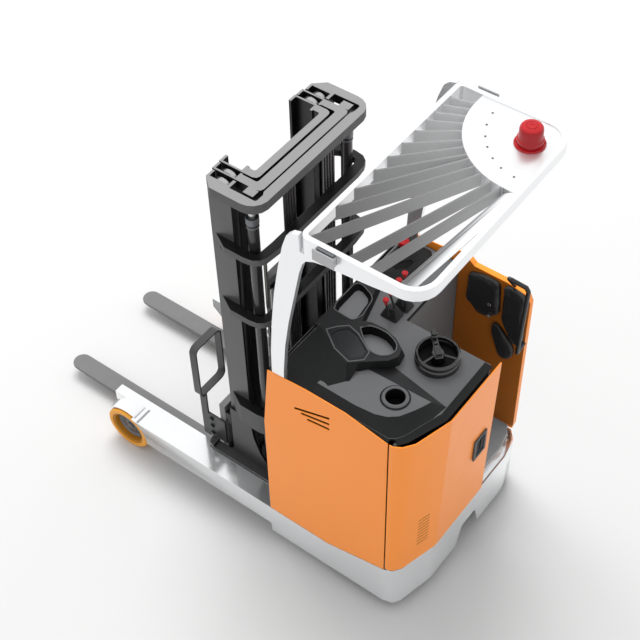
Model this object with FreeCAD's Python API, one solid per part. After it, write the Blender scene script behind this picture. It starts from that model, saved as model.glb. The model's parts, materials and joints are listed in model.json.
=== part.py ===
import FreeCAD, Part
import math
import os

os.makedirs("parts", exist_ok=True)

# Frame: +X runs from the operator's platform to the fork tips, +Y is the left side, +Z is up.
# All sizes are millimetres. The floor is at z = 0.

# Base and straddle legs
HALF_W = 499.0
LEG_W = 141.0
LEG_IN_Y = HALF_W - LEG_W
LEG_TOP_Z = 250.0
LEG_BOTTOM_Z = 115.0
LEG_FRONT_X = 709.0
LEG_NOSE_Z = 187.0
LEG_WALL = 12.0
RAIL_CHANNEL_W = 40.0
RAIL_WEB_Y = LEG_IN_Y + RAIL_CHANNEL_W
WHEEL_GAP = 8.0
FENDER_T = 6.0
FENDER_INSET = 15.0
FENDER_Y = HALF_W - FENDER_INSET
SKIRT_BOTTOM_Z = 55.0
SKIRT_WALL = 8.0
BODY_FRONT_X = -353.0
SEAM_X = -996.0
SKIRT_SIDE_TOP_Z = 250.0
SKIRT_KINK_X = -686.0
SKIRT_SEAM_TOP_Z = 326.0
SKIRT_REAR_TOP_Z = 340.0
SKIRT_REAR_X = -1060.0
PLATFORM_Z = 390.0

# Body panels
PANEL_WALL = 6.0
PANEL_GAP = 7.0
BODY_TOP_Z = 1278.0
CREASE_Y = 266.0
CREASE_X = -1120.0
REAR_LEAN = 20.0
DOOR_RIGHT_Y = -118.0
SIDE_WALL_T = 30.0
WALL_IN_Y = HALF_W - SIDE_WALL_T
PAD_T = 28.0
GRAB_R = 10.0
GRAB_REACH = 69.0
COMPARTMENT_X = -703.0
COMPARTMENT_Y = -84.0
CONSOLE_Z = 1288.0
CONSOLE_T = 14.0
PLATEAU_Z = 1308.0
HUMP_Z = 1350.0
BOOT_Z = 1330.0
CUP_X = -902.0
CUP_Y = 309.0
CUP_R = 52.0
BUTTON_INSET = 84.0

# Door pivot
PIVOT_X = -1010.0
PIVOT_INSET = 13.0
PIVOT_Y = HALF_W - PIVOT_INSET
PIVOT_R = 4.0
KNUCKLES = ((342.0, 372.0), (1210.0, 1240.0))
RUN_GAP = 0.05
SEAT_GAP = 0.3

# Load wheels
LOAD_X = 574.0
LOAD_INSET = 47.0
LOAD_Y = HALF_W - LOAD_INSET
LOAD_HALF_W = 41.0
LOAD_R = 125.7
LOAD_HUB_R = 84.0
LOAD_AXLE_R = 15.0

# Drive wheel and castor
DRIVE_X = -880.0
DRIVE_Y = 190.0
DRIVE_R = 171.5
DRIVE_HUB_R = 110.0
DRIVE_AXLE_R = 20.0
TURNTABLE_R = 110.0
DECK_Z = 378.0
DECK_T = 12.0
LEDGE_Z = 300.0
CASTOR_X = -880.0
CASTOR_INSET = 199.0
CASTOR_Y = CASTOR_INSET - HALF_W
CASTOR_R = 75.0
CASTOR_WIDTH = 45.0
CASTOR_TRAIL = 45.0
CASTOR_PIN_R = 15.0

# Battery and reach cylinder
TRAY_Z = 67.0
RISER_X = -660.0
RISER_T = 12.0
UPSTAND_INSET = 19.0
UPSTAND_Y = HALF_W - UPSTAND_INSET
BATTERY_Z = 150.0
BATTERY_SIDE_GAP = 40.0
BATTERY_Y = UPSTAND_Y - BATTERY_SIDE_GAP
REACH_Y = -75.0
REACH_Z = 110.0
REACH_R = 30.0

# Mast
CHANNEL_WEB = 9.0
CHANNEL_FLANGE = 12.0
CHANNEL_LIP = 42.0
MAST_TOP_Z = 2065.0
LEG_TO_MAST = 20.0
OUTER_Y = LEG_IN_Y - LEG_TO_MAST
STAGE_STEP = 48.0
HEAD_H = 45.0
HEAD_ARM = 45.0
HEAD_Y = OUTER_Y + HEAD_ARM
HEAD_REAR_X = -300.0
HEAD_STRIP = 45.0
ROLLER_ZS = (300.0, 620.0)
CYL_X = -215.0
CYL_INSET = 26.0
CYL_Y = OUTER_Y - CYL_INSET
CYL_R = 25.0
ROD_R = 16.0
FREE_X = -62.0
FOOT_W = 38.0
FOOT_OUT_Y = LEG_IN_Y + FOOT_W
FOOT_T = 12.0
REACH_ROLLER_Z = 182.5
REACH_ROLLER_XS = (-60.0, -270.0)

# Forks and carriage
FORK_Y = 278.0
FORK_W = 100.0
FORK_T = 35.0
FORK_TOP_Z = 78.0
FORK_TIP_X = 1143.0
FORK_FACE_X = 73.0
FORK_HEAD_Z = 540.0
CARRIAGE_BACK_X = 8.0
HOOP_X = 140.0
HOOP_IN_Y = 188.0
HOOP_OUT_Y = 370.0
HOOP_LOW_Z = 574.0
HOOP_TOP_Z = 918.0

# Overhead guard
GUARD_Z = 2237.0
GUARD_RAIL_H = 52.0
GUARD_RAIL_T = 22.0
GUARD_FRONT_X = -608.0
GUARD_REAR_X = -1134.0
GUARD_OVERHANG = 21.0
GUARD_HALF = HALF_W + GUARD_OVERHANG
GUARD_CORNER = 105.0
GUARD_NOSE_R = 36.0
GUARD_SEAT_H = 85.0
GUARD_SEAT_Z = GUARD_Z - GUARD_SEAT_H
GUARD_ARC_X = GUARD_REAR_X + 59.0
GUARD_ARC_Y = -GUARD_HALF + 67.0
GUARD_ARC_R = 348.0
SLAT_DEPTH = 62.0
SLAT_T = 6.0
SLAT_DROP = 6.0
PILLAR_INSET = 25.0
PILLAR_Y = HALF_W - PILLAR_INSET
PILLAR_T = 22.0
PILLAR_FOOT_Z = 1320.0
LAMP_T = 24.0
BEACON_X = GUARD_REAR_X + 118.0
BEACON_Y = -GUARD_HALF + 153.0
BEACON_H = 83.0

# Steering wheel
STEER_X = -924.0
STEER_Y = 35.0
STEER_Z = 1320.0
STEER_R = 83.0
STEER_RIM_R = 12.0


def box(x0, x1, y0, y1, z0, z1):
    return Part.makeBox(x1 - x0, y1 - y0, z1 - z0, FreeCAD.Vector(x0, y0, z0))


def plan(points, z0, z1):
    wire = Part.makePolygon([FreeCAD.Vector(x, y, z0) for x, y in points + points[:1]])
    return Part.Face(wire).extrude(FreeCAD.Vector(0, 0, z1 - z0))


def side(points, y0, y1):
    wire = Part.makePolygon([FreeCAD.Vector(x, y0, z) for x, z in points + points[:1]])
    return Part.Face(wire).extrude(FreeCAD.Vector(0, y1 - y0, 0))


def across(points, x0, x1):
    wire = Part.makePolygon([FreeCAD.Vector(x0, y, z) for y, z in points + points[:1]])
    return Part.Face(wire).extrude(FreeCAD.Vector(x1 - x0, 0, 0))


def rounded(y0, y1, z0, z1, r):
    points = []
    for cy, cz, start in [(y1 - r, z0 + r, 270.0), (y1 - r, z1 - r, 0.0), (y0 + r, z1 - r, 90.0),
                          (y0 + r, z0 + r, 180.0)]:
        for step in range(5):
            angle = math.radians(start + step * 22.5)
            points.append((cy + r * math.cos(angle), cz + r * math.sin(angle)))
    return points


def bar(start, end, r):
    a = FreeCAD.Vector(*start)
    b = FreeCAD.Vector(*end)
    return Part.makeCylinder(r, (b - a).Length, a, b - a)


def shifted(points, gaps):
    # Moves every edge of an anticlockwise outline inwards by its own gap.
    count = len(points)
    lines = []
    for index in range(count):
        x0, y0 = points[index]
        x1, y1 = points[(index + 1) % count]
        length = math.hypot(x1 - x0, y1 - y0)
        nx = -(y1 - y0) / length
        ny = (x1 - x0) / length
        lines.append((nx, ny, nx * x0 + ny * y0 + gaps[index]))
    moved = []
    for index in range(count):
        ax, ay, ac = lines[index - 1]
        bx, by, bc = lines[index]
        det = ax * by - ay * bx
        moved.append(((ac * by - bc * ay) / det, (ax * bc - bx * ac) / det))
    return moved


def inset(points, gap):
    return shifted(points, [gap] * len(points))


def frustum(low, z0, high, z1):
    bottom = [FreeCAD.Vector(x, y, z0) for x, y in low]
    top = [FreeCAD.Vector(x, y, z1) for x, y in high]
    count = len(low)
    faces = [Part.Face(Part.makePolygon(bottom + bottom[:1])),
             Part.Face(Part.makePolygon(top + top[:1]))]
    for index in range(count):
        after = (index + 1) % count
        corners = [bottom[index], bottom[after], top[after], top[index], bottom[index]]
        faces.append(Part.Face(Part.makePolygon(corners)))
    solid = Part.Solid(Part.Shell(faces))
    return solid


def rod_x(x0, x1, y, z, r):
    return Part.makeCylinder(r, x1 - x0, FreeCAD.Vector(x0, y, z), FreeCAD.Vector(1, 0, 0))


def rod_y(x, y0, y1, z, r):
    return Part.makeCylinder(r, y1 - y0, FreeCAD.Vector(x, y0, z), FreeCAD.Vector(0, 1, 0))


def rod_z(x, y, z0, z1, r):
    return Part.makeCylinder(r, z1 - z0, FreeCAD.Vector(x, y, z0))


def mirrored(shape):
    return shape.mirror(FreeCAD.Vector(0, 0, 0), FreeCAD.Vector(0, 1, 0))


def both(shape):
    return [shape, mirrored(shape)]


def fused(shapes):
    whole = shapes[0]
    for extra in shapes[1:]:
        whole = whole.fuse(extra)
    return whole.removeSplitter()


def save(name, shape):
    shape.exportStep("parts/" + name + ".step")


# Base frame with hollow legs
skirt_outline = [(BODY_FRONT_X, HALF_W), (SEAM_X, HALF_W), (-1041.0, HALF_W - 13.0),
                 (-1066.0, HALF_W - 47.0), (-1110.0, 272.0), (-1119.0, -330.0),
                 (-1100.0, 59.0 - HALF_W), (-1060.0, 13.0 - HALF_W), (-1010.0, -HALF_W),
                 (BODY_FRONT_X, -HALF_W)]
skirt_inner = inset(skirt_outline, SKIRT_WALL)
skirt_ring = plan(skirt_outline, SKIRT_BOTTOM_Z, SKIRT_REAR_TOP_Z)
skirt_ring = skirt_ring.cut(plan(skirt_inner, SKIRT_BOTTOM_Z - 1.0, SKIRT_REAR_TOP_Z + 1.0))
skirt_trim = side([(BODY_FRONT_X + 1.0, SKIRT_SIDE_TOP_Z), (SKIRT_KINK_X, SKIRT_SIDE_TOP_Z),
                   (SEAM_X, SKIRT_SEAM_TOP_Z), (SKIRT_REAR_X, SKIRT_REAR_TOP_Z),
                   (SKIRT_REAR_X, 400.0), (BODY_FRONT_X + 1.0, 400.0)],
                  -HALF_W - 1.0, HALF_W + 1.0)
skirt_ring = skirt_ring.cut(skirt_trim)
skirt_ring = skirt_ring.cut(rod_x(-400.0, -340.0, REACH_Y, REACH_Z, 22.0))
rear_notch = across([(60.0, SKIRT_BOTTOM_Z - 1.0), (38.0, 128.0), (27.0, 170.0), (12.0, 184.0),
                     (-84.0, 184.0), (-96.0, 172.0), (-128.0, SKIRT_BOTTOM_Z - 1.0)],
                    -1200.0, -1100.0)
skirt_ring = skirt_ring.cut(rear_notch)
tray_floor = plan(skirt_inner, SKIRT_BOTTOM_Z, TRAY_Z)
tray_floor = tray_floor.cut(box(-1200.0, RISER_X - RISER_T, -600.0, 600.0, 0.0, 200.0))
riser = box(RISER_X - RISER_T, RISER_X, -HALF_W + SKIRT_WALL, HALF_W - SKIRT_WALL,
            SKIRT_BOTTOM_Z, SKIRT_SIDE_TOP_Z)
riser = riser.fuse(box(RISER_X - RISER_T, RISER_X, -UPSTAND_Y, UPSTAND_Y,
                       SKIRT_SIDE_TOP_Z - 20.0, DECK_Z))
riser = riser.cut(rod_x(RISER_X - 50.0, RISER_X + 10.0, REACH_Y, REACH_Z, REACH_R + SEAT_GAP))
ledge = plan(skirt_inner, LEDGE_Z - 8.0, LEDGE_Z)
ledge = ledge.cut(plan(inset(skirt_inner, 34.0), LEDGE_Z - 9.0, LEDGE_Z + 1.0))
ledge = ledge.cut(box(RISER_X - RISER_T, 0.0, -600.0, 600.0, 0.0, 500.0))
deck_outline = inset(skirt_inner, 20.0)
rib = plan(deck_outline, LEDGE_Z, DECK_Z)
rib = rib.cut(plan(inset(deck_outline, 8.0), LEDGE_Z - 1.0, DECK_Z - DECK_T))
deck = rib.cut(box(RISER_X - RISER_T, 0.0, -600.0, 600.0, 0.0, 500.0))
deck = deck.cut(rod_z(DRIVE_X, DRIVE_Y, 0.0, 500.0, TURNTABLE_R + RUN_GAP))
castor_boss = rod_z(CASTOR_X, CASTOR_Y, 215.0, DECK_Z - DECK_T, 45.0)
castor_boss = castor_boss.cut(rod_z(CASTOR_X, CASTOR_Y, 200.0, 300.0, CASTOR_PIN_R + RUN_GAP))
shoulder = box(BODY_FRONT_X - 40.0, BODY_FRONT_X, LEG_IN_Y, HALF_W - SKIRT_WALL, SKIRT_BOTTOM_Z,
               LEG_TOP_Z)
upstand = box(SEAM_X + 6.0, BODY_FRONT_X - 20.0, UPSTAND_Y - 8.0, UPSTAND_Y, 235.0,
              SKIRT_SEAM_TOP_Z + 20.0)
upstand = upstand.fuse(box(SEAM_X + 6.0, BODY_FRONT_X - 20.0, UPSTAND_Y - 8.0,
                           HALF_W - SKIRT_WALL, 235.0, 243.0))
pivot_low = fused([box(PIVOT_X - 8.0, PIVOT_X + 8.0, PIVOT_Y - 31.0, PIVOT_Y + 2.0, 290.0, 300.0),
                   rod_z(PIVOT_X, PIVOT_Y, 295.0, KNUCKLES[0][1], PIVOT_R)])
frame = fused([skirt_ring, tray_floor, riser, ledge, deck, castor_boss, shoulder,
               mirrored(shoulder), upstand, mirrored(upstand), pivot_low])
save("base_frame", frame)

# Straddle legs, each a channel open to the inside with a hood over its load wheel
leg_rail = side([(BODY_FRONT_X, LEG_BOTTOM_Z), (LOAD_X + 60.0, LEG_BOTTOM_Z),
                 (LEG_FRONT_X, LEG_NOSE_Z), (LEG_FRONT_X, LEG_TOP_Z), (BODY_FRONT_X, LEG_TOP_Z)],
                LEG_IN_Y, RAIL_WEB_Y + LEG_WALL)
leg_rail = leg_rail.cut(box(BODY_FRONT_X - 1.0, LEG_FRONT_X - 80.0, LEG_IN_Y - 1.0, RAIL_WEB_Y,
                            LEG_BOTTOM_Z + LEG_WALL, LEG_TOP_Z - LEG_WALL))
leg_box = box(BODY_FRONT_X, LOAD_X, RAIL_WEB_Y, HALF_W, LEG_BOTTOM_Z, LEG_TOP_Z)
leg_box = leg_box.cut(box(BODY_FRONT_X + 20.0, LOAD_X - LOAD_R - 40.0, RAIL_WEB_Y + LEG_WALL,
                          HALF_W - LEG_WALL, LEG_BOTTOM_Z - 1.0, LEG_TOP_Z - LEG_WALL))
wheel_room = rod_y(LOAD_X, RAIL_WEB_Y + 8.0, HALF_W + 1.0, LOAD_R, LOAD_R + WHEEL_GAP)
axle = rod_y(LOAD_X, RAIL_WEB_Y, LOAD_Y + 14.0, LOAD_R, LOAD_AXLE_R)
hood = rod_y(LOAD_X, RAIL_WEB_Y + 4.0, FENDER_Y, LOAD_R, LOAD_R + WHEEL_GAP + FENDER_T)
hood = hood.cut(rod_y(LOAD_X, RAIL_WEB_Y + 8.0, FENDER_Y + 9.0, LOAD_R, LOAD_R + WHEEL_GAP))
hood = hood.cut(box(LOAD_X - 200.0, LOAD_X + 200.0, 300.0, 500.0, -20.0, LEG_NOSE_Z))
leg = fused([fused([leg_rail, leg_box]).cut(wheel_room), axle, hood])
save("leg_left", leg)
save("leg_right", mirrored(leg))

# Body panels on the sides
left_profile = [(BODY_FRONT_X, SKIRT_SIDE_TOP_Z + 2.0), (-358.0, 932.0), (-396.0, 1310.0),
                (-592.0, 1325.0), (-790.0, 1322.0), (SEAM_X, BODY_TOP_Z),
                (SEAM_X, SKIRT_SEAM_TOP_Z + 2.0), (SKIRT_KINK_X, SKIRT_SIDE_TOP_Z + 2.0)]
left_panel = side(left_profile, HALF_W - PANEL_WALL, HALF_W)
slots = [(-710.0, 1215.0, -530.0, 1150.0), (-709.0, 1176.0, -565.0, 1140.0),
         (-709.0, 1142.0, -596.0, 1122.0)]
for rear_x, rear_z, front_x, front_z in slots:
    left_panel = left_panel.cut(side([(rear_x, rear_z), (front_x, front_z), (front_x, front_z + 13.0),
                                      (rear_x, rear_z + 13.0)], HALF_W - 20.0, HALF_W + 20.0))
save("side_panel_left", left_panel)
right_profile = [(BODY_FRONT_X, SKIRT_SIDE_TOP_Z + 2.0), (-358.0, 932.0), (-396.0, 1310.0),
                 (-592.0, 1325.0), (-743.0, 1364.0), (-782.0, 1331.0), (-953.0, 1330.0),
                 (-1050.0, 1309.0), (-1069.0, 1271.0), (-1074.0, 406.0), (-1062.0, 355.0),
                 (SKIRT_REAR_X, SKIRT_REAR_TOP_Z + 2.0), (SEAM_X, SKIRT_SEAM_TOP_Z + 2.0),
                 (SKIRT_KINK_X, SKIRT_SIDE_TOP_Z + 2.0)]
right_panel = side(right_profile, -HALF_W, -HALF_W + PANEL_WALL)
right_inner = side(right_profile, -HALF_W + PANEL_WALL, -WALL_IN_Y)
right_inner = right_inner.cut(box(COMPARTMENT_X, 0.0, -600.0, 0.0, 0.0, 2000.0))
right_inner = right_inner.cut(box(-1200.0, 0.0, -600.0, 0.0, 0.0, PLATFORM_Z))
save("side_wall_right", fused([right_panel, right_inner]))
bulkhead = side([(BODY_FRONT_X - 1.0, 252.0), (-359.0, 932.0), (-393.0, CONSOLE_Z - 4.0),
                 (-399.0, CONSOLE_Z - 4.0), (-365.0, 932.0), (BODY_FRONT_X - 7.0, 252.0)],
                -HALF_W + PANEL_WALL, HALF_W - PANEL_WALL)
save("front_bulkhead", bulkhead)

# Rear door, leaning out towards its top
door_outline = [(SEAM_X - PANEL_GAP, HALF_W), (-1020.0, HALF_W - 1.0), (-1041.0, HALF_W - 13.0),
                (-1066.0, HALF_W - 47.0),
                (CREASE_X, CREASE_Y), (CREASE_X - 2.0, DOOR_RIGHT_Y), (-800.0, DOOR_RIGHT_Y),
                (SEAM_X - PANEL_GAP, 300.0)]
lean = [0.0, 0.0, -6.0, -16.0, -REAR_LEAN, 0.0, 0.0, 0.0]
thick = [PANEL_WALL] * 5 + [0.0, 0.0, 0.0]
door_low = 342.0
door_high = BODY_TOP_Z
door_skin = frustum(door_outline, door_low, shifted(door_outline, lean), door_high)
room_low = shifted(door_outline, thick)
room_high = shifted(door_outline, [a + b for a, b in zip(lean, thick)])
door_room = frustum(room_low, door_low, room_high, door_high)
door = door_skin.cut(door_room)
knuckles = []
for low, high in KNUCKLES:
    knuckle = fused([rod_z(PIVOT_X, PIVOT_Y, low, high, 7.0),
                     box(PIVOT_X - 7.0, PIVOT_X + 7.0, PIVOT_Y, PIVOT_Y + 7.5, low, high)])
    knuckles.append(knuckle)
door = fused([door] + knuckles)
for low, high in KNUCKLES:
    door = door.cut(rod_z(PIVOT_X, PIVOT_Y, low - 1.0, high + 1.0, PIVOT_R + RUN_GAP))
save("rear_door", door)
latch = side([(CREASE_X - 12.0, 736.0), (CREASE_X - 22.0, 740.0), (CREASE_X - 22.0, 876.0),
              (CREASE_X - 14.0, 880.0)], -65.0, 31.0)
latch = latch.cut(door_skin)
save("door_latch", latch)

# Console, a dark moulding that closes the body between the panels
console_outline = [(-403.0, HALF_W - PANEL_WALL), (SEAM_X, HALF_W - PANEL_WALL),
                   (-1033.0, HALF_W - 25.0), (-1056.0, HALF_W - 57.0), (-1120.0, CREASE_Y - 2.0),
                   (-1122.0, COMPARTMENT_Y + 6.0), (COMPARTMENT_X, COMPARTMENT_Y + 6.0),
                   (COMPARTMENT_X, -HALF_W + PANEL_WALL), (-403.0, -HALF_W + PANEL_WALL)]
base = frustum(console_outline, CONSOLE_Z - CONSOLE_T, inset(console_outline, 10.0), CONSOLE_Z)
plateau_outline = [(-653.0, HALF_W - 41.0), (-1000.0, HALF_W - 41.0), (-1044.0, HALF_W - 79.0),
                   (-1068.0, 262.0), (-1020.0, 244.0), (-741.0, 250.0)]
plateau = frustum(inset(plateau_outline, -8.0), CONSOLE_Z - 2.0, plateau_outline, PLATEAU_Z)
hump_outline = [(-431.0, 182.0), (-637.0, 280.0), (-810.0, 215.0), (-812.0, 110.0),
                (-648.0, 54.0)]
hump = frustum(inset(hump_outline, -20.0), CONSOLE_Z - 2.0, hump_outline, HUMP_Z)
glass = plan([(-501.0, 213.0), (-661.0, 276.0), (-685.0, 218.0), (-545.0, 154.0)],
             HUMP_Z - 1.0, HUMP_Z + 4.0)
boot_outline = [(-620.0, -150.0), (-620.0, 20.0), (-700.0, 20.0), (-700.0, -150.0)]
boot = frustum(boot_outline, CONSOLE_Z - 2.0, inset(boot_outline, 12.0), BOOT_Z)
cup = rod_z(CUP_X, CUP_Y, CONSOLE_Z - 60.0, PLATEAU_Z + 10.0, CUP_R)
console = fused([base, plateau, hump, glass, boot, cup])
console = console.cut(rod_z(CUP_X, CUP_Y, CONSOLE_Z - 54.0, PLATEAU_Z + 20.0, CUP_R - 12.0))
front_tray = plan([(-510.0, 78.0), (-510.0, -80.0), (-500.0, -90.0), (-420.0, -90.0),
                   (-410.0, -80.0), (-410.0, 78.0), (-420.0, 88.0), (-500.0, 88.0)],
                  CONSOLE_Z - CONSOLE_T + 4.0, CONSOLE_Z + 20.0)
pocket = plan([(-566.0, 92.0), (-600.0, 66.0), (-700.0, 44.0), (-738.0, 62.0), (-738.0, 100.0),
               (-712.0, 128.0), (-620.0, 128.0)], CONSOLE_Z + 2.0, HUMP_Z + 20.0)
console = console.cut(front_tray).cut(pocket)
console = console.cut(rod_z(PIVOT_X, PIVOT_Y, CONSOLE_Z - 88.0, CONSOLE_Z + 12.0, 18.0))
save("console", console)
pivot_top = fused([rod_z(PIVOT_X, PIVOT_Y, KNUCKLES[1][0], CONSOLE_Z - CONSOLE_T - 10.0, PIVOT_R),
                   box(PIVOT_X - 14.0, PIVOT_X - 1.0, PIVOT_Y - 46.0, PIVOT_Y - 1.0,
                       CONSOLE_Z - CONSOLE_T - 12.0, CONSOLE_Z - CONSOLE_T)])
save("door_pivot_top", pivot_top)

# Operator's compartment
platform = plan([(COMPARTMENT_X, COMPARTMENT_Y), (-1078.0, COMPARTMENT_Y), (-1088.0, -330.0),
                 (-1070.0, -425.0), (-1045.0, -WALL_IN_Y), (COMPARTMENT_X, -WALL_IN_Y)],
                DECK_Z, PLATFORM_Z)
save("platform", platform)
liner = fused([box(COMPARTMENT_X, COMPARTMENT_X + 6.0, -WALL_IN_Y, COMPARTMENT_Y, DECK_Z,
                   CONSOLE_Z - CONSOLE_T),
               box(-1108.0, COMPARTMENT_X + 6.0, COMPARTMENT_Y, COMPARTMENT_Y + 6.0, DECK_Z,
                   CONSOLE_Z - CONSOLE_T)])
save("compartment_liner", liner)
pad_plans = [((-932.0, -759.0), (1080.0, 1296.0)),
             ((-1081.0, -937.0), (1025.0, 1320.0)),
             ((-1026.0, -899.0), (874.0, 1020.0))]
pads = []
for (x0, x1), (z0, z1) in pad_plans:
    pads.append(side([(x0 + 20.0, z0), (x1 - 20.0, z0), (x1, z0 + 20.0), (x1, z1 - 20.0),
                      (x1 - 20.0, z1), (x0 + 20.0, z1), (x0, z1 - 20.0), (x0, z0 + 20.0)],
                     -WALL_IN_Y, -WALL_IN_Y + PAD_T))
save("backrest_pads", Part.makeCompound(pads))
grab_y = GRAB_REACH - WALL_IN_Y
grab_path = [(-1066.0, -WALL_IN_Y, 1010.0), (-1070.0, grab_y - 5.0, 1010.0),
             (-1084.0, grab_y, 1420.0), (-1072.0, grab_y, 1438.0), (-1000.0, grab_y, 1442.0),
             (-984.0, grab_y - 10.0, 1430.0), (-984.0, 7.0 - WALL_IN_Y, 1350.0),
             (-984.0, -15.0 - WALL_IN_Y, 1320.0)]
grab = []
for start, end in zip(grab_path, grab_path[1:]):
    grab.append(bar(start, end, GRAB_R))
for point in grab_path[1:-1]:
    grab.append(Part.makeSphere(GRAB_R, FreeCAD.Vector(*point)))
grab_handle = fused(grab).cut(box(-1200.0, -800.0, -HALF_W - 20.0, -WALL_IN_Y, 900.0, 1345.0))
save("grab_handle", grab_handle)

# Battery
battery_legs = [box(-650.0, -400.0, 10.0 - BATTERY_Y, 30.0 - BATTERY_Y, TRAY_Z, BATTERY_Z),
                box(-650.0, -400.0, BATTERY_Y - 30.0, BATTERY_Y - 10.0, TRAY_Z, BATTERY_Z)]
battery = fused([box(-650.0, -400.0, -BATTERY_Y, BATTERY_Y, BATTERY_Z, 830.0)] + battery_legs)
save("battery", battery)

# Drive unit
turn = fused([rod_z(DRIVE_X, DRIVE_Y, DECK_Z - 16.0, DECK_Z + 8.0, TURNTABLE_R),
              rod_z(DRIVE_X, DRIVE_Y, DECK_Z + SEAT_GAP, DECK_Z + 8.0, TURNTABLE_R + 15.0)])
gear = box(DRIVE_X - 60.0, DRIVE_X + 60.0, DRIVE_Y + 65.0, DRIVE_Y + 95.0, 110.0, DECK_Z - 16.0)
motor = rod_z(DRIVE_X, DRIVE_Y, DECK_Z + 8.0, 720.0, 90.0)
drive_pin = rod_y(DRIVE_X, DRIVE_Y - 50.0, DRIVE_Y + 66.0, DRIVE_R, DRIVE_AXLE_R)
save("drive_motor", motor)
save("drive_gearbox", fused([turn, gear, drive_pin]))
drive_tyre = rod_y(DRIVE_X, DRIVE_Y - 57.0, DRIVE_Y + 57.0, DRIVE_R, DRIVE_R)
drive_tyre = drive_tyre.cut(rod_y(DRIVE_X, DRIVE_Y - 60.0, DRIVE_Y + 60.0, DRIVE_R, DRIVE_HUB_R))
drive_hub = rod_y(DRIVE_X, DRIVE_Y - 57.0, DRIVE_Y + 57.0, DRIVE_R, DRIVE_HUB_R)
drive_hub = drive_hub.cut(rod_y(DRIVE_X, DRIVE_Y - 60.0, DRIVE_Y + 60.0, DRIVE_R,
                                DRIVE_AXLE_R + RUN_GAP))
save("drive_tyre", drive_tyre)
save("drive_hub", drive_hub)

# Castor
castor_axle_x = CASTOR_X - CASTOR_TRAIL
castor_head = fused([rod_z(CASTOR_X, CASTOR_Y, 180.0, 290.0, CASTOR_PIN_R),
                     rod_z(CASTOR_X, CASTOR_Y, 180.0, 215.0 - SEAT_GAP, 45.0),
                     box(castor_axle_x - 15.0, CASTOR_X + 30.0, CASTOR_Y - 12.0, CASTOR_Y + 12.0,
                         60.0, 185.0),
                     rod_y(castor_axle_x, CASTOR_Y - 65.0, CASTOR_Y + 65.0, CASTOR_R, 12.0)])
save("castor_fork", castor_head)
castor_wheels = []
for wheel_y in (CASTOR_Y - 65.0, CASTOR_Y + 65.0 - CASTOR_WIDTH):
    tread = rod_y(castor_axle_x, wheel_y, wheel_y + CASTOR_WIDTH, CASTOR_R, CASTOR_R)
    bore = rod_y(castor_axle_x, wheel_y - 1.0, wheel_y + CASTOR_WIDTH + 1.0, CASTOR_R,
                 12.0 + RUN_GAP)
    castor_wheels.append(tread.cut(bore))
save("castor_wheel_left", castor_wheels[1])
save("castor_wheel_right", castor_wheels[0])

# Load wheels
load_tyre = rod_y(LOAD_X, LOAD_Y - LOAD_HALF_W, LOAD_Y + LOAD_HALF_W, LOAD_R, LOAD_R)
load_tyre = load_tyre.cut(rod_y(LOAD_X, LOAD_Y - 50.0, LOAD_Y + 50.0, LOAD_R, LOAD_HUB_R))
load_hub = rod_y(LOAD_X, LOAD_Y - LOAD_HALF_W, LOAD_Y + 14.0, LOAD_R, LOAD_HUB_R)
load_hub = load_hub.cut(rod_y(LOAD_X, LOAD_Y - 50.0, LOAD_Y + 50.0, LOAD_R,
                              LOAD_AXLE_R + RUN_GAP))
save("load_tyre_left", load_tyre)
save("load_hub_left", load_hub)
save("load_tyre_right", mirrored(load_tyre))
save("load_hub_right", mirrored(load_hub))


# Mast channels: the web faces outwards and the flanges point to the middle
STAGES = {
    "outer": {"y": OUTER_Y, "front": -18.0, "depth": 115.0, "low": 212.0},
    "middle": {"y": OUTER_Y - STAGE_STEP, "front": -9.0, "depth": 122.0, "low": 110.0},
    "inner": {"y": OUTER_Y - 2.0 * STAGE_STEP + 1.0, "front": -6.0, "depth": 118.0, "low": 80.0},
}


def channel(stage):
    front = stage["front"]
    back = front - stage["depth"]
    web = stage["y"]
    lip = web - CHANNEL_LIP
    points = [(front, web), (back, web), (back, lip), (back + CHANNEL_FLANGE, lip),
              (back + CHANNEL_FLANGE, web - CHANNEL_WEB),
              (front - CHANNEL_FLANGE, web - CHANNEL_WEB), (front - CHANNEL_FLANGE, lip),
              (front, lip)]
    return plan(points, stage["low"], MAST_TOP_Z)


def guide_roller(stage, from_y, z):
    # A roller that runs between the flanges of the given stage.
    middle = stage["front"] - stage["depth"] / 2.0
    radius = stage["depth"] / 2.0 - CHANNEL_FLANGE - SEAT_GAP
    tread = rod_y(middle, stage["y"] - CHANNEL_LIP + 3.0, stage["y"] - CHANNEL_WEB - 3.0, z, radius)
    stub = rod_y(middle, from_y, stage["y"] - CHANNEL_WEB - 3.0, z, 18.0)
    return tread.fuse(stub)


def hoop_plate(outer, inner_edge, z0, z1):
    # A U-shaped plate, given as the left half of its outer and inner edges from front to rear.
    outer_edge = outer + [(x, -y) for x, y in outer[::-1]]
    inner_line = inner_edge + [(x, -y) for x, y in inner_edge[::-1]]
    return plan(outer_edge + inner_line[::-1], z0, z1)


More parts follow.
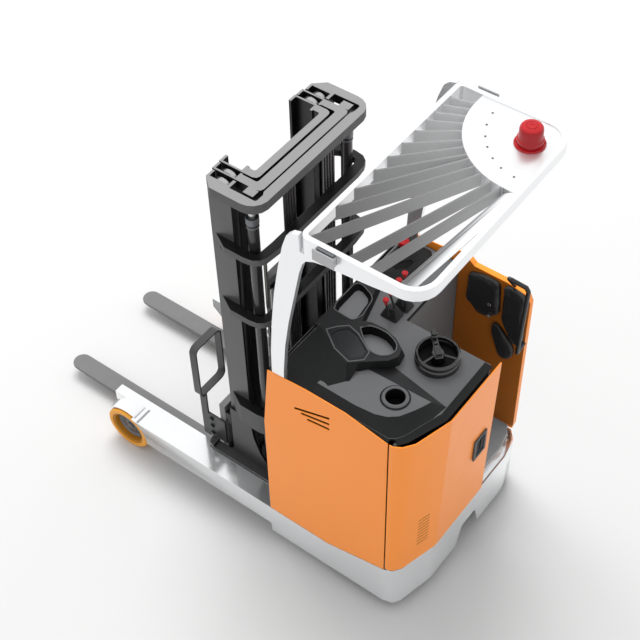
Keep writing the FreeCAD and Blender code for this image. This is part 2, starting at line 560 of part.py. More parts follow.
outer_web = OUTER_Y - CHANNEL_WEB
outer_lip = OUTER_Y - CHANNEL_LIP
head_outer = [(-18.0, OUTER_Y), (-70.0, HEAD_Y), (-222.0, HEAD_Y), (-250.0, HEAD_Y - 5.0),
              (-274.0, HEAD_Y - 19.0), (-292.0, HEAD_Y - 42.0), (HEAD_REAR_X, HEAD_Y - 70.0)]
head_inner = [(-18.0, outer_web), (-121.0, outer_web), (-121.0, outer_lip), (-136.0, outer_lip),
              (-136.0, CYL_Y + 27.0), (-258.0, CYL_Y + 27.0), (-264.0, CYL_Y + 20.0),
              (-264.0, outer_lip), (HEAD_REAR_X + HEAD_STRIP, outer_lip - 16.0)]
collar_outer = [(-38.0, OUTER_Y), (-115.0, HEAD_Y), (-212.0, HEAD_Y), (-255.0, HEAD_Y - 7.0),
                (-280.0, HEAD_Y - 26.0), (-292.0, HEAD_Y - 53.0), (-300.0, HEAD_Y - 123.0)]
collar_inner = [(-38.0, outer_web), (-133.0, outer_web),
                (-155.0, CYL_Y + 30.0), (-232.0, CYL_Y + 30.0), (-250.0, CYL_Y + 22.0),
                (-255.0, CYL_Y - 62.0)]
outer_parts = both(channel(STAGES["outer"]))
for band_low, band_high in [(604.0, 737.0), (1358.0, 1391.0), (1733.0, 1766.0)]:
    outer_parts.append(hoop_plate(collar_outer, collar_inner, band_low, band_high))
outer_parts.append(hoop_plate(head_outer, head_inner, MAST_TOP_Z - HEAD_H, MAST_TOP_Z))
save("mast_outer", fused(outer_parts))

middle = STAGES["middle"]
middle_back = middle["front"] - middle["depth"]
middle_parts = both(channel(middle))
middle_parts.append(box(middle_back - 10.0, middle_back, -middle["y"], middle["y"], 230.0, 330.0))
middle_y = middle["y"]
middle_outer = [(-9.0, middle_y), (-226.0, middle_y), (-241.0, middle_y - 6.0),
                (-248.0, middle_y - 22.0)]
middle_inner = [(-9.0, middle_y - 9.0), (-119.0, middle_y - 9.0), (-119.0, middle_y - 38.0),
                (-198.0, middle_y - 38.0), (-203.0, middle_y - 46.0)]
middle_parts.append(hoop_plate(middle_outer, middle_inner, MAST_TOP_Z - HEAD_H, MAST_TOP_Z))
for roller_z in ROLLER_ZS:
    middle_parts = middle_parts + both(guide_roller(STAGES["outer"], middle["y"] - 1.0, roller_z))
middle_parts = middle_parts + both(box(CYL_X - 25.0, CYL_X + 25.0, middle["y"] - 1.0,
                                       CYL_Y + 16.0, MAST_TOP_Z - 40.0, MAST_TOP_Z))
save("mast_middle", fused(middle_parts))

inner = STAGES["inner"]
inner_back = inner["front"] - inner["depth"]
inner_parts = both(channel(inner))
inner_y = inner["y"]
inner_outer = [(-6.0, inner_y), (-170.0, inner_y), (-186.0, inner_y - 7.0),
               (-192.0, inner_y - 21.0)]
inner_inner = [(-6.0, inner_y - 9.0), (-112.0, inner_y - 9.0), (-112.0, inner_y - 35.0),
               (-153.0, inner_y - 35.0), (-158.0, inner_y - 43.0)]
inner_parts.append(hoop_plate(inner_outer, inner_inner, MAST_TOP_Z - HEAD_H, MAST_TOP_Z))
inner_parts.append(box(inner_back, inner_back + 10.0, -inner["y"], inner["y"], 90.0, 190.0))
inner_parts.append(box(inner_back, -30.0, -80.0, 80.0, 90.0, 102.0))
for roller_z in ROLLER_ZS:
    inner_parts = inner_parts + both(guide_roller(middle, inner["y"] - 1.0, roller_z))
save("mast_inner", fused(inner_parts))

cylinder = rod_z(CYL_X, CYL_Y, 262.0, 1940.0, CYL_R)
cylinder = cylinder.cut(rod_z(CYL_X, CYL_Y, 282.0, 1950.0, ROD_R + RUN_GAP))
ram = rod_z(CYL_X, CYL_Y, 284.0, MAST_TOP_Z - 40.0, ROD_R)
save("lift_cylinder_left", cylinder)
save("lift_cylinder_right", mirrored(cylinder))
save("lift_rod_left", ram)
save("lift_rod_right", mirrored(ram))
free_barrel = rod_z(FREE_X, 0.0, 102.0, 1180.0, 38.0)
free_barrel = free_barrel.cut(rod_z(FREE_X, 0.0, 130.0, 1190.0, 28.0 + RUN_GAP))
save("free_lift_cylinder", free_barrel)
free_ram = fused([rod_z(FREE_X, 0.0, 132.0, 1210.0, 28.0),
                  box(FREE_X - 12.0, FREE_X + 12.0, -70.0, 70.0, 1205.0, 1235.0)])
save("free_lift_rod", free_ram)

# Reach carriage with foot beams over the legs and rollers inside them
foot_z = LEG_TOP_Z + 6.0
hanger = box(-330.0, -2.0, OUTER_Y, OUTER_Y + 14.0, 120.0, foot_z + FOOT_T)
foot = plan([(-330.0, FOOT_OUT_Y), (-330.0, OUTER_Y + 10.0), (112.0, OUTER_Y + 10.0),
             (112.0, FOOT_OUT_Y - 30.0), (104.0, FOOT_OUT_Y - 8.0), (84.0, FOOT_OUT_Y)],
            foot_z, foot_z + FOOT_T)
nose = plan([(74.0, FOOT_OUT_Y), (74.0, OUTER_Y + 10.0), (112.0, OUTER_Y + 10.0),
             (112.0, FOOT_OUT_Y - 30.0), (104.0, FOOT_OUT_Y - 8.0), (84.0, FOOT_OUT_Y)],
            foot_z, foot_z + FOOT_T + 16.0)
cheek = side([(-18.0, 212.0), (-18.0, 604.0), (-133.0, 604.0), (-150.0, 470.0), (-183.0, 370.0),
              (-230.0, 300.0), (-290.0, 268.0), (-290.0, 212.0)], OUTER_Y, OUTER_Y + 12.0)
seat = box(CYL_X - 35.0, CYL_X + 35.0, CYL_Y - 30.0, OUTER_Y + 12.0, 236.0, 262.0)
shoe = box(60.0, 100.0, LEG_IN_Y + 4.0, FOOT_OUT_Y - 2.0, LEG_TOP_Z + SEAT_GAP, foot_z)
stubs = [rod_y(roller_x, OUTER_Y + 13.0, RAIL_WEB_Y - 4.0, REACH_ROLLER_Z, 20.0)
         for roller_x in REACH_ROLLER_XS]
carriage_side = fused([hanger, foot, nose, cheek, seat, shoe] + stubs)
beam = box(-330.0, -305.0, -OUTER_Y - 1.0, OUTER_Y + 1.0, 90.0, 200.0)
save("reach_carriage", fused([carriage_side, mirrored(carriage_side), beam]))
rollers = []
for roller_x in REACH_ROLLER_XS:
    roller = rod_y(roller_x, LEG_IN_Y, RAIL_WEB_Y - 2.0, REACH_ROLLER_Z,
                   (LEG_TOP_Z - LEG_BOTTOM_Z) / 2.0 - LEG_WALL - SEAT_GAP)
    roller = roller.cut(rod_y(roller_x, LEG_IN_Y - 28.0, RAIL_WEB_Y - 4.0 + RUN_GAP, REACH_ROLLER_Z,
                              20.0 + RUN_GAP))
    rollers = rollers + both(roller)
save("reach_rollers", Part.makeCompound(rollers))

# Reach cylinder under the battery
reach_barrel = rod_x(-1000.0, -395.0, REACH_Y, REACH_Z, REACH_R)
reach_barrel = reach_barrel.cut(rod_x(-985.0, -390.0, REACH_Y, REACH_Z, 16.0 + RUN_GAP))
save("reach_barrel", reach_barrel)
save("reach_rod", rod_x(-983.0, -330.0, REACH_Y, REACH_Z, 16.0))

# Fork carriage and forks
bar_y = OUTER_Y - 12.0
cheek_y = inner_y - 53.0
fork_parts = [box(CARRIAGE_BACK_X, FORK_FACE_X - FORK_T, -bar_y, bar_y, 120.0, 200.0),
              box(CARRIAGE_BACK_X, FORK_FACE_X - FORK_T, -bar_y, bar_y, 430.0, 500.0)]
fork_parts = fork_parts + both(box(-100.0, CARRIAGE_BACK_X + 10.0, cheek_y - 20.0, cheek_y,
                                   110.0, 540.0))
for roller_z in (200.0, 440.0):
    fork_parts = fork_parts + both(guide_roller(inner, cheek_y - 1.0, roller_z))
save("fork_carriage", fused(fork_parts))
fork = side([(FORK_FACE_X, FORK_TOP_Z), (FORK_TIP_X, FORK_TOP_Z), (FORK_TIP_X, 66.0),
             (700.0, FORK_TOP_Z - FORK_T), (FORK_FACE_X - FORK_T, FORK_TOP_Z - FORK_T),
             (FORK_FACE_X - FORK_T, FORK_HEAD_Z), (FORK_FACE_X, FORK_HEAD_Z)],
            FORK_Y - FORK_W / 2.0, FORK_Y + FORK_W / 2.0)
fork_tip_x = FORK_TIP_X - FORK_W / 2.0
fork_plan = box(0.0, fork_tip_x, FORK_Y - FORK_W / 2.0, FORK_Y + FORK_W / 2.0, 0.0, 600.0)
fork = fork.common(fork_plan.fuse(rod_z(fork_tip_x, FORK_Y, 0.0, 600.0, FORK_W / 2.0)))
save("fork_left", fork)
save("fork_right", mirrored(fork))
hoop = across(rounded(HOOP_IN_Y, HOOP_OUT_Y, HOOP_LOW_Z, HOOP_TOP_Z, 34.0), HOOP_X, HOOP_X + 40.0)
hoop = hoop.cut(across(rounded(HOOP_IN_Y + 8.0, HOOP_OUT_Y - 8.0, HOOP_LOW_Z + 8.0,
                               HOOP_TOP_Z - 8.0, 26.0), HOOP_X - 1.0, HOOP_X + 41.0))
post = box(HOOP_X, HOOP_X + 40.0, 330.0, 340.0, 250.0, HOOP_LOW_Z + 8.0)
tie = box(FORK_FACE_X - FORK_T, HOOP_X + 10.0, 328.0, 340.0, 262.0, 430.0)
backrest = fused([hoop, post, tie])
save("load_backrest", Part.makeCompound(both(backrest)))

# Overhead guard with slats that fan out from a quarter disc
def rail_corner(radius, middle_x, start):
    middle_y = GUARD_HALF - radius
    points = []
    for step in range(7):
        angle = math.radians(start + step * 15.0)
        points.append((middle_x + radius * math.cos(angle), middle_y + radius * math.sin(angle)))
    return points


guard_half = rail_corner(GUARD_NOSE_R, GUARD_FRONT_X - GUARD_NOSE_R, 0.0)
guard_half = guard_half + rail_corner(GUARD_CORNER, GUARD_REAR_X + GUARD_CORNER, 90.0)
guard_outline = guard_half + [(x, -y) for x, y in guard_half[::-1]]
guard_room = inset(guard_outline, GUARD_RAIL_T)
guard_low = GUARD_Z - GUARD_RAIL_H
slat_low = GUARD_Z - SLAT_DROP - SLAT_DEPTH
slat_top = GUARD_Z - SLAT_DROP
above = GUARD_Z + 1.0
below = GUARD_SEAT_Z - 1.0
guard = plan(guard_outline, GUARD_SEAT_Z, GUARD_Z)
guard = guard.cut(plan(guard_room, below, above))
guard = guard.cut(side([(GUARD_REAR_X - 1.0, guard_low), (GUARD_REAR_X - 1.0, below),
                        (-760.0, below), (-760.0, GUARD_SEAT_Z), (-800.0, GUARD_SEAT_Z + 6.0),
                        (-923.0, GUARD_SEAT_Z + 20.0), (-1010.0, guard_low)],
                       -GUARD_HALF - 1.0, GUARD_HALF + 1.0))
guard = guard.cut(box(GUARD_FRONT_X - GUARD_NOSE_R, 0.0, -GUARD_HALF + GUARD_NOSE_R,
                      GUARD_HALF - GUARD_NOSE_R, below, guard_low))
disc = rod_z(GUARD_ARC_X, GUARD_ARC_Y, slat_top - 6.0, slat_top, GUARD_ARC_R)
disc = disc.fuse(box(GUARD_REAR_X, GUARD_ARC_X, -GUARD_HALF, GUARD_ARC_Y + GUARD_ARC_R,
                     slat_top - 6.0, slat_top))
disc = disc.fuse(box(GUARD_REAR_X, GUARD_ARC_X + GUARD_ARC_R, -GUARD_HALF, GUARD_ARC_Y,
                     slat_top - 6.0, slat_top))
lip = rod_z(GUARD_ARC_X, GUARD_ARC_Y, slat_low, slat_top, GUARD_ARC_R)
lip = lip.cut(rod_z(GUARD_ARC_X, GUARD_ARC_Y, slat_low - 1.0, above, GUARD_ARC_R - SLAT_T))
lip = lip.common(box(GUARD_ARC_X, 0.0, GUARD_ARC_Y, GUARD_HALF, below - 100.0, above))
rail_middle = plan(inset(guard_outline, GUARD_RAIL_T / 2.0), below - 100.0, above)
quarter = fused([disc, lip]).common(rail_middle)
# Each slat runs from a bearing on the disc's edge, in degrees, to a point x and y on the rail.
fan = [(2.1, GUARD_FRONT_X, -412.0),
       (8.5, GUARD_FRONT_X, -352.0),
       (15.6, GUARD_FRONT_X, -297.0),
       (22.9, GUARD_FRONT_X, -240.0),
       (30.1, GUARD_FRONT_X, -158.0),
       (38.6, GUARD_FRONT_X, -70.0),
       (44.8, GUARD_FRONT_X, 28.0),
       (51.8, GUARD_FRONT_X, 120.0),
       (55.6, GUARD_FRONT_X, 250.0),
       (63.1, GUARD_FRONT_X, 365.0),
       (70.3, GUARD_FRONT_X - 32.0, GUARD_HALF - 14.0),
       (79.1, GUARD_FRONT_X - 198.0, GUARD_HALF - 2.0)]
slats = []
for bearing, x1, y1 in fan:
    x0 = GUARD_ARC_X + GUARD_ARC_R * math.cos(math.radians(bearing))
    y0 = GUARD_ARC_Y + GUARD_ARC_R * math.sin(math.radians(bearing))
    length = math.hypot(x1 - x0, y1 - y0)
    back_x = x0 - (x1 - x0) * 14.0 / length
    back_y = y0 - (y1 - y0) * 14.0 / length
    across_x = (y1 - y0) / length * SLAT_T
    across_y = -(x1 - x0) / length * SLAT_T
    slats.append(plan([(back_x, back_y), (x1, y1), (x1 + across_x, y1 + across_y),
                       (back_x + across_x, back_y + across_y)], slat_low, slat_top))
slat_set = fused(slats).cut(rod_z(GUARD_ARC_X, GUARD_ARC_Y, below - 100.0, above,
                                  GUARD_ARC_R - SLAT_T))
bend = []
for step in range(7):
    angle = math.radians(90.0 * step / 6.0)
    bend.append((GUARD_REAR_X + 74.0 - 72.0 * (1.0 - math.cos(angle)),
                 guard_low + 4.0 + 42.0 * math.sin(angle)))
under = [(x - 5.0 if step < 3 else x, z - 5.0 if step > 2 else z)
         for step, (x, z) in enumerate(bend)]
sheet_face = Part.Face(Part.makePolygon(
    [FreeCAD.Vector(x, GUARD_ARC_Y + GUARD_ARC_R - 12.0, z)
     for x, z in bend + under[::-1] + bend[:1]]))
sheet = sheet_face.extrude(FreeCAD.Vector(58.0, GUARD_HALF - GUARD_ARC_Y - GUARD_ARC_R, 0.0))
deck_set = fused([slat_set, sheet]).common(rail_middle)
save("overhead_guard", fused([guard, quarter, deck_set]))

# Pillars, leaning out from the body to the guard's rail
pillar_rise = GUARD_SEAT_Z - PILLAR_FOOT_Z
# Front and rear edges as x and share of the rise from the body to the seat of the guard.
front_edge = [(-421.0, -0.008), (-421.0, 0.017), (-426.0, 0.157), (-445.0, 0.393), (-470.0, 0.621),
              (-502.0, 0.831), (-530.0, 0.981)]
rear_edge = [(-617.0, 0.926), (-599.0, 0.853), (-566.0, 0.662), (-531.0, 0.463), (-503.0, 0.261),
             (-485.0, 0.056), (-482.0, -0.003)]
pillar_outline = [(x, PILLAR_FOOT_Z + share * pillar_rise) for x, share in front_edge]
pillar_outline = pillar_outline + [(-552.0, GUARD_Z - 35.0), (-576.0, GUARD_Z - 10.0),
                                   (GUARD_FRONT_X, GUARD_Z), (GUARD_FRONT_X, GUARD_SEAT_Z),
                                   (-740.0, GUARD_SEAT_Z), (-672.0, GUARD_SEAT_Z - 15.0),
                                   (-634.0, GUARD_SEAT_Z - 35.0)]
pillar_outline = pillar_outline + [(x, PILLAR_FOOT_Z + share * pillar_rise)
                                   for x, share in rear_edge]
pillar_lean = (GUARD_HALF - PILLAR_Y - PILLAR_T) / (GUARD_Z - PILLAR_FOOT_Z)
pillar_wire = []
for x, z in pillar_outline + pillar_outline[:1]:
    pillar_wire.append(FreeCAD.Vector(x, PILLAR_Y + pillar_lean * (z - PILLAR_FOOT_Z), z))
pillar = Part.Face(Part.makePolygon(pillar_wire)).extrude(FreeCAD.Vector(0.0, PILLAR_T, 0.0))
pillar_foot = box(-482.0, -421.0, PILLAR_Y, HALF_W - PANEL_WALL, CONSOLE_Z, PILLAR_FOOT_Z)
pillar = pillar.fuse(pillar_foot).removeSplitter()
save("guard_pillar_left", pillar)
save("guard_pillar_right", mirrored(pillar))
beacon = fused([rod_z(BEACON_X, BEACON_Y, slat_top, GUARD_Z + 8.0, 62.0),
                rod_z(BEACON_X, BEACON_Y, GUARD_Z + 8.0, GUARD_Z + 26.0, 52.0),
                rod_z(BEACON_X, BEACON_Y, GUARD_Z + 26.0, GUARD_Z + BEACON_H, 46.0)])
save("beacon", beacon)
lamp = side([(-778.0, GUARD_Z - 66.0), (-682.0, GUARD_Z - 66.0), (-682.0, GUARD_Z - 8.0),
             (-690.0, GUARD_Z + 2.0), (-770.0, GUARD_Z + 2.0), (-778.0, GUARD_Z - 8.0)],
            GUARD_HALF, GUARD_HALF + LAMP_T)
save("work_lamp_left", lamp)
save("work_lamp_right", mirrored(lamp))

# Steering wheel
column = fused([rod_z(STEER_X, STEER_Y, CONSOLE_Z, STEER_Z, 26.0),
                rod_z(STEER_X, STEER_Y, STEER_Z, STEER_Z + 14.0, 8.0)])
save("steering_column", column)
wheel = Part.makeTorus(STEER_R, STEER_RIM_R, FreeCAD.Vector(STEER_X, STEER_Y, STEER_Z + 14.0))
hub = rod_z(STEER_X, STEER_Y, STEER_Z + SEAT_GAP, STEER_Z + 22.0, 30.0)
spokes = []
for bearing in (75.0, 195.0, 315.0):
    reach_x = STEER_R * math.cos(math.radians(bearing))
    reach_y = STEER_R * math.sin(math.radians(bearing))
    spokes.append(bar((STEER_X, STEER_Y, STEER_Z + 12.0),
                      (STEER_X + reach_x, STEER_Y + reach_y, STEER_Z + 12.0), 9.0))
knob_x = STEER_X + STEER_R * math.cos(math.radians(-45.0))
knob_y = STEER_Y + STEER_R * math.sin(math.radians(-45.0))
spinner = rod_z(knob_x, knob_y, STEER_Z + 14.0, STEER_Z + 50.0, 15.0)
wheel = fused([wheel, hub, spinner] + spokes)
wheel = wheel.cut(rod_z(STEER_X, STEER_Y, STEER_Z - 10.0, STEER_Z + 14.0 + RUN_GAP, 8.0 + RUN_GAP))
save("steering_wheel", wheel)

# Controls
knobs = []
# Each lever has its place x and y and its height over the boots.
for lever_x, lever_y, lever_h in [(-637.0, -11.0, 90.0), (-646.0, -60.0, 80.0),
                                  (-660.0, -100.0, 80.0), (-660.0, -130.0, 70.0)]:
    knobs.append(fused([rod_z(lever_x, lever_y, BOOT_Z, BOOT_Z + lever_h, 6.0),
                        rod_z(lever_x, lever_y, BOOT_Z + lever_h - 24.0, BOOT_Z + lever_h, 14.0)]))
save("control_levers", Part.makeCompound(knobs))
button_y = BUTTON_INSET - HALF_W
save("emergency_button", fused([rod_z(-450.0, button_y, CONSOLE_Z, CONSOLE_Z + 24.0, 28.0),
                                rod_z(-450.0, button_y, CONSOLE_Z + 24.0, CONSOLE_Z + 52.0, 21.0)]))
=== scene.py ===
"""Looks of an indoor electric stand-on reach truck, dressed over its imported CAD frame."""
import json
import logging
import math
from collections.abc import Callable
from dataclasses import dataclass, field
from enum import Enum

import bmesh
import bpy
from mathutils import Matrix, Vector

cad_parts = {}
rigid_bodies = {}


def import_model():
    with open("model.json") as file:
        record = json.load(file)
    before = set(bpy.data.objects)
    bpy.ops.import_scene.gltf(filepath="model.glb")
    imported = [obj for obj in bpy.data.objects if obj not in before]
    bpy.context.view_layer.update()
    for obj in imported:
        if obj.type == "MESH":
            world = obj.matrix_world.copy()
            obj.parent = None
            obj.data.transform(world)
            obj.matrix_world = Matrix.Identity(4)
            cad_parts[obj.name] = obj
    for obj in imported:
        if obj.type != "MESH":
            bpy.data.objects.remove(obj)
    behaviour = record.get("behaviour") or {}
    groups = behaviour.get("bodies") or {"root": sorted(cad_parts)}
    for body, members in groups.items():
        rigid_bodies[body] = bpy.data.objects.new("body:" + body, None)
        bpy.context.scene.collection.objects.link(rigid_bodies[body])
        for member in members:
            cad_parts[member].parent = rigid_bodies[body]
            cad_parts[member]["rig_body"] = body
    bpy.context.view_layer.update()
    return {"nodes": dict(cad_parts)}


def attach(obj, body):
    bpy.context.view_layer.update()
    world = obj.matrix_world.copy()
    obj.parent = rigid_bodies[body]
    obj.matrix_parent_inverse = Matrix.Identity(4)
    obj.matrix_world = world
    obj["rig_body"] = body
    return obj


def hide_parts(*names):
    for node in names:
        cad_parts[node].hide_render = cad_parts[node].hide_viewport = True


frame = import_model()
LOG = logging.getLogger("reach_truck")

Point = tuple[float, float, float]
Plan = tuple[float, float]
Colour = tuple[float, float, float]
Rule = Callable[[Vector, Vector], int]
Socket = bpy.types.NodeSocket

SIDES = ((1.0, "left"), (-1.0, "right"))
DUST_COLOUR: Colour = (0.62, 0.6, 0.57)
SHARP_DEGREES = 32.0
UP: Point = (0.0, 0.0, 1.0)


def body_of(node: str) -> str:
    """Looks up the body that a CAD node belongs to."""
    return frame["nodes"][node]["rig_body"]


def linked(name: str, data: bpy.types.ID) -> bpy.types.Object:
    """Makes an object that is in the scene.

    Args:
        name: its name.
        data: its mesh, camera or lamp.

    Returns:
        The object.
    """
    item = bpy.data.objects.new(name, data)
    bpy.context.scene.collection.objects.link(item)
    return item


def evaluated(holder: bpy.types.Object, *spent: bpy.types.Object) -> bpy.types.Mesh:
    """Takes the mesh that an object's modifiers make.

    Args:
        holder: the object.
        spent: working objects that are removed afterwards.

    Returns:
        The mesh.
    """
    bpy.context.view_layer.update()
    graph = bpy.context.evaluated_depsgraph_get()
    mesh = bpy.data.meshes.new_from_object(holder.evaluated_get(graph))
    for item in spent:
        bpy.data.objects.remove(item)
    return mesh


def mm(*values: float) -> Vector:
    """Turns a place in millimetres into metres."""
    return Vector([value / 1000.0 for value in values])


# Finishes


class Effect(Enum):
    """Shader groups that several finishes share."""

    GRAIN = "grain_bump"
    WEAR = "edge_wear"
    DUST = "dust_film"


def new_group(effect: Effect, inputs: dict[str, float],
              outputs: dict[str, str]) -> bpy.types.NodeTree:
    """Starts a shader group with float inputs and typed outputs.

    Args:
        effect: which effect the group is for.
        inputs: input names and their usual values.
        outputs: output names and their socket types.

    Returns:
        The new group.
    """
    group = bpy.data.node_groups.new(effect.value, "ShaderNodeTree")
    for name, value in inputs.items():
        socket = group.interface.new_socket(name, in_out="INPUT", socket_type="NodeSocketFloat")
        socket.default_value = value
    for name, kind in outputs.items():
        group.interface.new_socket(name, in_out="OUTPUT", socket_type=kind)
    return group


class Wiring:
    """Adds nodes to a shader tree and joins them."""

    def __init__(self, tree: bpy.types.NodeTree) -> None:
        """Takes the tree."""
        self.nodes = tree.nodes
        self.join = tree.links.new

    def ends(self) -> tuple[bpy.types.Node, bpy.types.Node]:
        """Adds a group's entry and its exit."""
        return self.nodes.new("NodeGroupInput"), self.nodes.new("NodeGroupOutput")

    def combined(self, operation: str, first: Socket, second: Socket | float) -> Socket:
        """Adds a math node.

        Args:
            operation: the operation's name.
            first: what feeds its first input.
            second: what feeds its second input, or that input's value.

        Returns:
            The node's result.
        """
        node = self.nodes.new("ShaderNodeMath")
        node.operation = operation
        self.join(first, node.inputs[0])
        if isinstance(second, float):
            node.inputs[1].default_value = second
        else:
            self.join(second, node.inputs[1])
        return node.outputs[0]

    def blended(self, base: Socket | Colour, colour: Colour, factor: Socket) -> Socket:
        """Mixes a plain colour over another one.

        Args:
            base: the colour below, or what gives it.
            colour: the plain colour.
            factor: how much of the plain colour shows.

        Returns:
            The mixed colour.
        """
        mix = self.nodes.new("ShaderNodeMix")
        mix.data_type = "RGBA"
        mix.inputs["B"].default_value = (*colour, 1.0)
        if isinstance(base, tuple):
            mix.inputs["A"].default_value = (*base, 1.0)
        else:
            self.join(base, mix.inputs["A"])
        self.join(factor, mix.inputs["Factor"])
        return mix.outputs["Result"]

    def clouds(self, scale: float = 5.0, detail: float = 2.0) -> bpy.types.Node:
        """Adds noise over the object's own coordinates.

        Args:
            scale: its scale.
            detail: its detail.

        Returns:
            The noise's node.
        """
        place = self.nodes.new("ShaderNodeTexCoord")
        noise = self.nodes.new("ShaderNodeTexNoise")
        noise.inputs["Scale"].default_value = scale
        noise.inputs["Detail"].default_value = detail
        self.join(place.outputs["Object"], noise.inputs["Vector"])
        return noise


class EffectLibrary:
    """Builds each shared shader group once."""

    def __init__(self) -> None:
        """Builds the groups."""
        self.groups = {Effect.GRAIN: self.grain(), Effect.WEAR: self.wear(),
                       Effect.DUST: self.dust()}

    def add(self, wires: Wiring, effect: Effect, **values: float) -> bpy.types.Node:
        """Adds an effect to a material.

        Args:
            wires: the material's tree.
            effect: the effect.
            values: its inputs by name.

        Returns:
            The group's node.
        """
        node = wires.nodes.new("ShaderNodeGroup")
        node.node_tree = self.groups[effect]
        for name, value in values.items():
            node.inputs[name].default_value = value
        return node

    def grain(self) -> bpy.types.NodeTree:
        """Builds a height and a roughness shift from fine noise.

        Returns:
            The group.
        """
        group = new_group(Effect.GRAIN, {"Scale": 900.0, "Detail": 3.0, "Roughness": 0.4,
                                         "Spread": 0.05},
                          {"Height": "NodeSocketFloat", "Roughness": "NodeSocketFloat"})
        wires = Wiring(group)
        entry, leave = wires.ends()
        fine, broad = wires.clouds(), wires.clouds(9.0)
        for name in ("Scale", "Detail"):
            wires.join(entry.outputs[name], fine.inputs[name])
        centred = wires.combined("SUBTRACT", broad.outputs["Fac"], 0.5)
        shift = wires.combined("MULTIPLY", centred, entry.outputs["Spread"])
        total = wires.combined("ADD", entry.outputs["Roughness"], shift)
        wires.join(fine.outputs["Fac"], leave.inputs["Height"])
        wires.join(total, leave.inputs["Roughness"])
        return group

    def wear(self) -> bpy.types.NodeTree:
        """Builds a mask that is bright on rubbed edges.

        Returns:
            The group.
        """
        group = new_group(Effect.WEAR, {"Reach": 0.52, "Amount": 0.5}, {"Mask": "NodeSocketFloat"})
        wires = Wiring(group)
        entry, leave = wires.ends()
        shape = wires.nodes.new("ShaderNodeNewGeometry")
        above = wires.combined("SUBTRACT", shape.outputs["Pointiness"], entry.outputs["Reach"])
        sharp = wires.combined("MULTIPLY", above, 14.0)
        sharp.node.use_clamp = True
        broken = wires.combined("MULTIPLY", sharp, wires.clouds(40.0, 6.0).outputs["Fac"])
        mask = wires.combined("MULTIPLY", broken, entry.outputs["Amount"])
        wires.join(mask, leave.inputs["Mask"])
        return group

    def dust(self) -> bpy.types.NodeTree:
        """Builds a mask that is bright on faces that look up, broken by soft noise.

        Returns:
            The group.
        """
        group = new_group(Effect.DUST, {"Amount": 0.1, "Scale": 14.0}, {"Mask": "NodeSocketFloat"})
        wires = Wiring(group)
        entry, leave = wires.ends()
        shape = wires.nodes.new("ShaderNodeNewGeometry")
        split = wires.nodes.new("ShaderNodeSeparateXYZ")
        noise = wires.clouds(detail=5.0)
        wires.join(entry.outputs["Scale"], noise.inputs["Scale"])
        wires.join(shape.outputs["Normal"], split.inputs[0])
        facing = wires.combined("MAXIMUM", split.outputs["Z"], 0.0)
        product = wires.combined("MULTIPLY", facing, noise.outputs["Fac"])
        mask = wires.combined("MULTIPLY", product, entry.outputs["Amount"])
        wires.join(mask, leave.inputs["Mask"])
        return group


@dataclass(frozen=True)
class Finish:
    """One paint, plastic, metal or rubber, with its grain, wear and dust, and for some a painted
    shading gradient along one axis.
    """

    name: str
    colour: Colour
    roughness: float
    metallic: float = 0.0
    coat: float = 0.0
    coat_roughness: float = 0.08
    grain_scale: float = 700.0
    grain_height: float = 0.00002
    spread: float = 0.06
    worn: Colour = (0.5, 0.5, 0.5)
    wear: float = 0.0
    dust: float = 0.0
    shade: float = 0.06
    specular: float = 0.5
    shading_far_colour: Colour | None = None
    shading_axis: str = "Y"
    shading_span: Plan = (0.35, -0.35)
    bounce: Colour | None = None

    def material(self, effects: EffectLibrary) -> bpy.types.Material:
        """Makes the finish's material.

        Args:
            effects: the shared shader groups.

        Returns:
            The material.
        """
        made = bpy.data.materials.new(self.name)
        made.use_nodes = True
        wires = Wiring(made.node_tree)
        shader = wires.nodes["Principled BSDF"]
        for name, value in [("Metallic", self.metallic), ("Coat Weight", self.coat),
                            ("Coat Roughness", self.coat_roughness),
                            ("Specular IOR Level", self.specular)]:
            shader.inputs[name].default_value = value
        low = tuple(channel * (1.0 - self.shade) for channel in self.colour)
        high = tuple(min(1.0, channel * (1.0 + self.shade)) for channel in self.colour)
        colour = wires.blended(low, high, wires.clouds(3.5, 4.0).outputs["Fac"])
        # Blends towards the painted shading colour along one axis: painted reflection on the slats,
        # painted shade on the bent sheet.
        if self.shading_far_colour is not None:
            colour = wires.blended(colour, self.shading_far_colour, self.distance(wires))
        edge = effects.add(wires, Effect.WEAR, Amount=self.wear)
        colour = wires.blended(colour, self.worn, edge.outputs["Mask"])
        film = effects.add(wires, Effect.DUST, Amount=self.dust)
        colour = wires.blended(colour, DUST_COLOUR, film.outputs["Mask"])
        if self.bounce is not None:
            ray = wires.nodes.new("ShaderNodeLightPath")
            colour = wires.blended(colour, self.bounce, ray.outputs["Is Diffuse Ray"])
        wires.join(colour, shader.inputs["Base Color"])
        grain = effects.add(wires, Effect.GRAIN, Scale=self.grain_scale,
                            Roughness=self.roughness, Spread=self.spread)
        wires.join(grain.outputs["Roughness"], shader.inputs["Roughness"])
        bump = wires.nodes.new("ShaderNodeBump")
        bump.inputs["Distance"].default_value = self.grain_height
        wires.join(grain.outputs["Height"], bump.inputs["Height"])
        wires.join(bump.outputs["Normal"], shader.inputs["Normal"])
        return made

    def distance(self, wires: Wiring) -> Socket:
        """Gives 0 at the near end of the finish's painted shading span and 1 at its far end.

        Args:
            wires: the material's tree.

        Returns:
            The share.
        """
        place = wires.nodes.new("ShaderNodeTexCoord")
        axes = wires.nodes.new("ShaderNodeSeparateXYZ")
        wires.join(place.outputs["Object"], axes.inputs["Vector"])
        span = wires.nodes.new("ShaderNodeMapRange")
        span.inputs["From Min"].default_value = self.shading_span[0]
        span.inputs["From Max"].default_value = self.shading_span[1]
        wires.join(axes.outputs[self.shading_axis], span.inputs["Value"])
        return span.outputs["Result"]


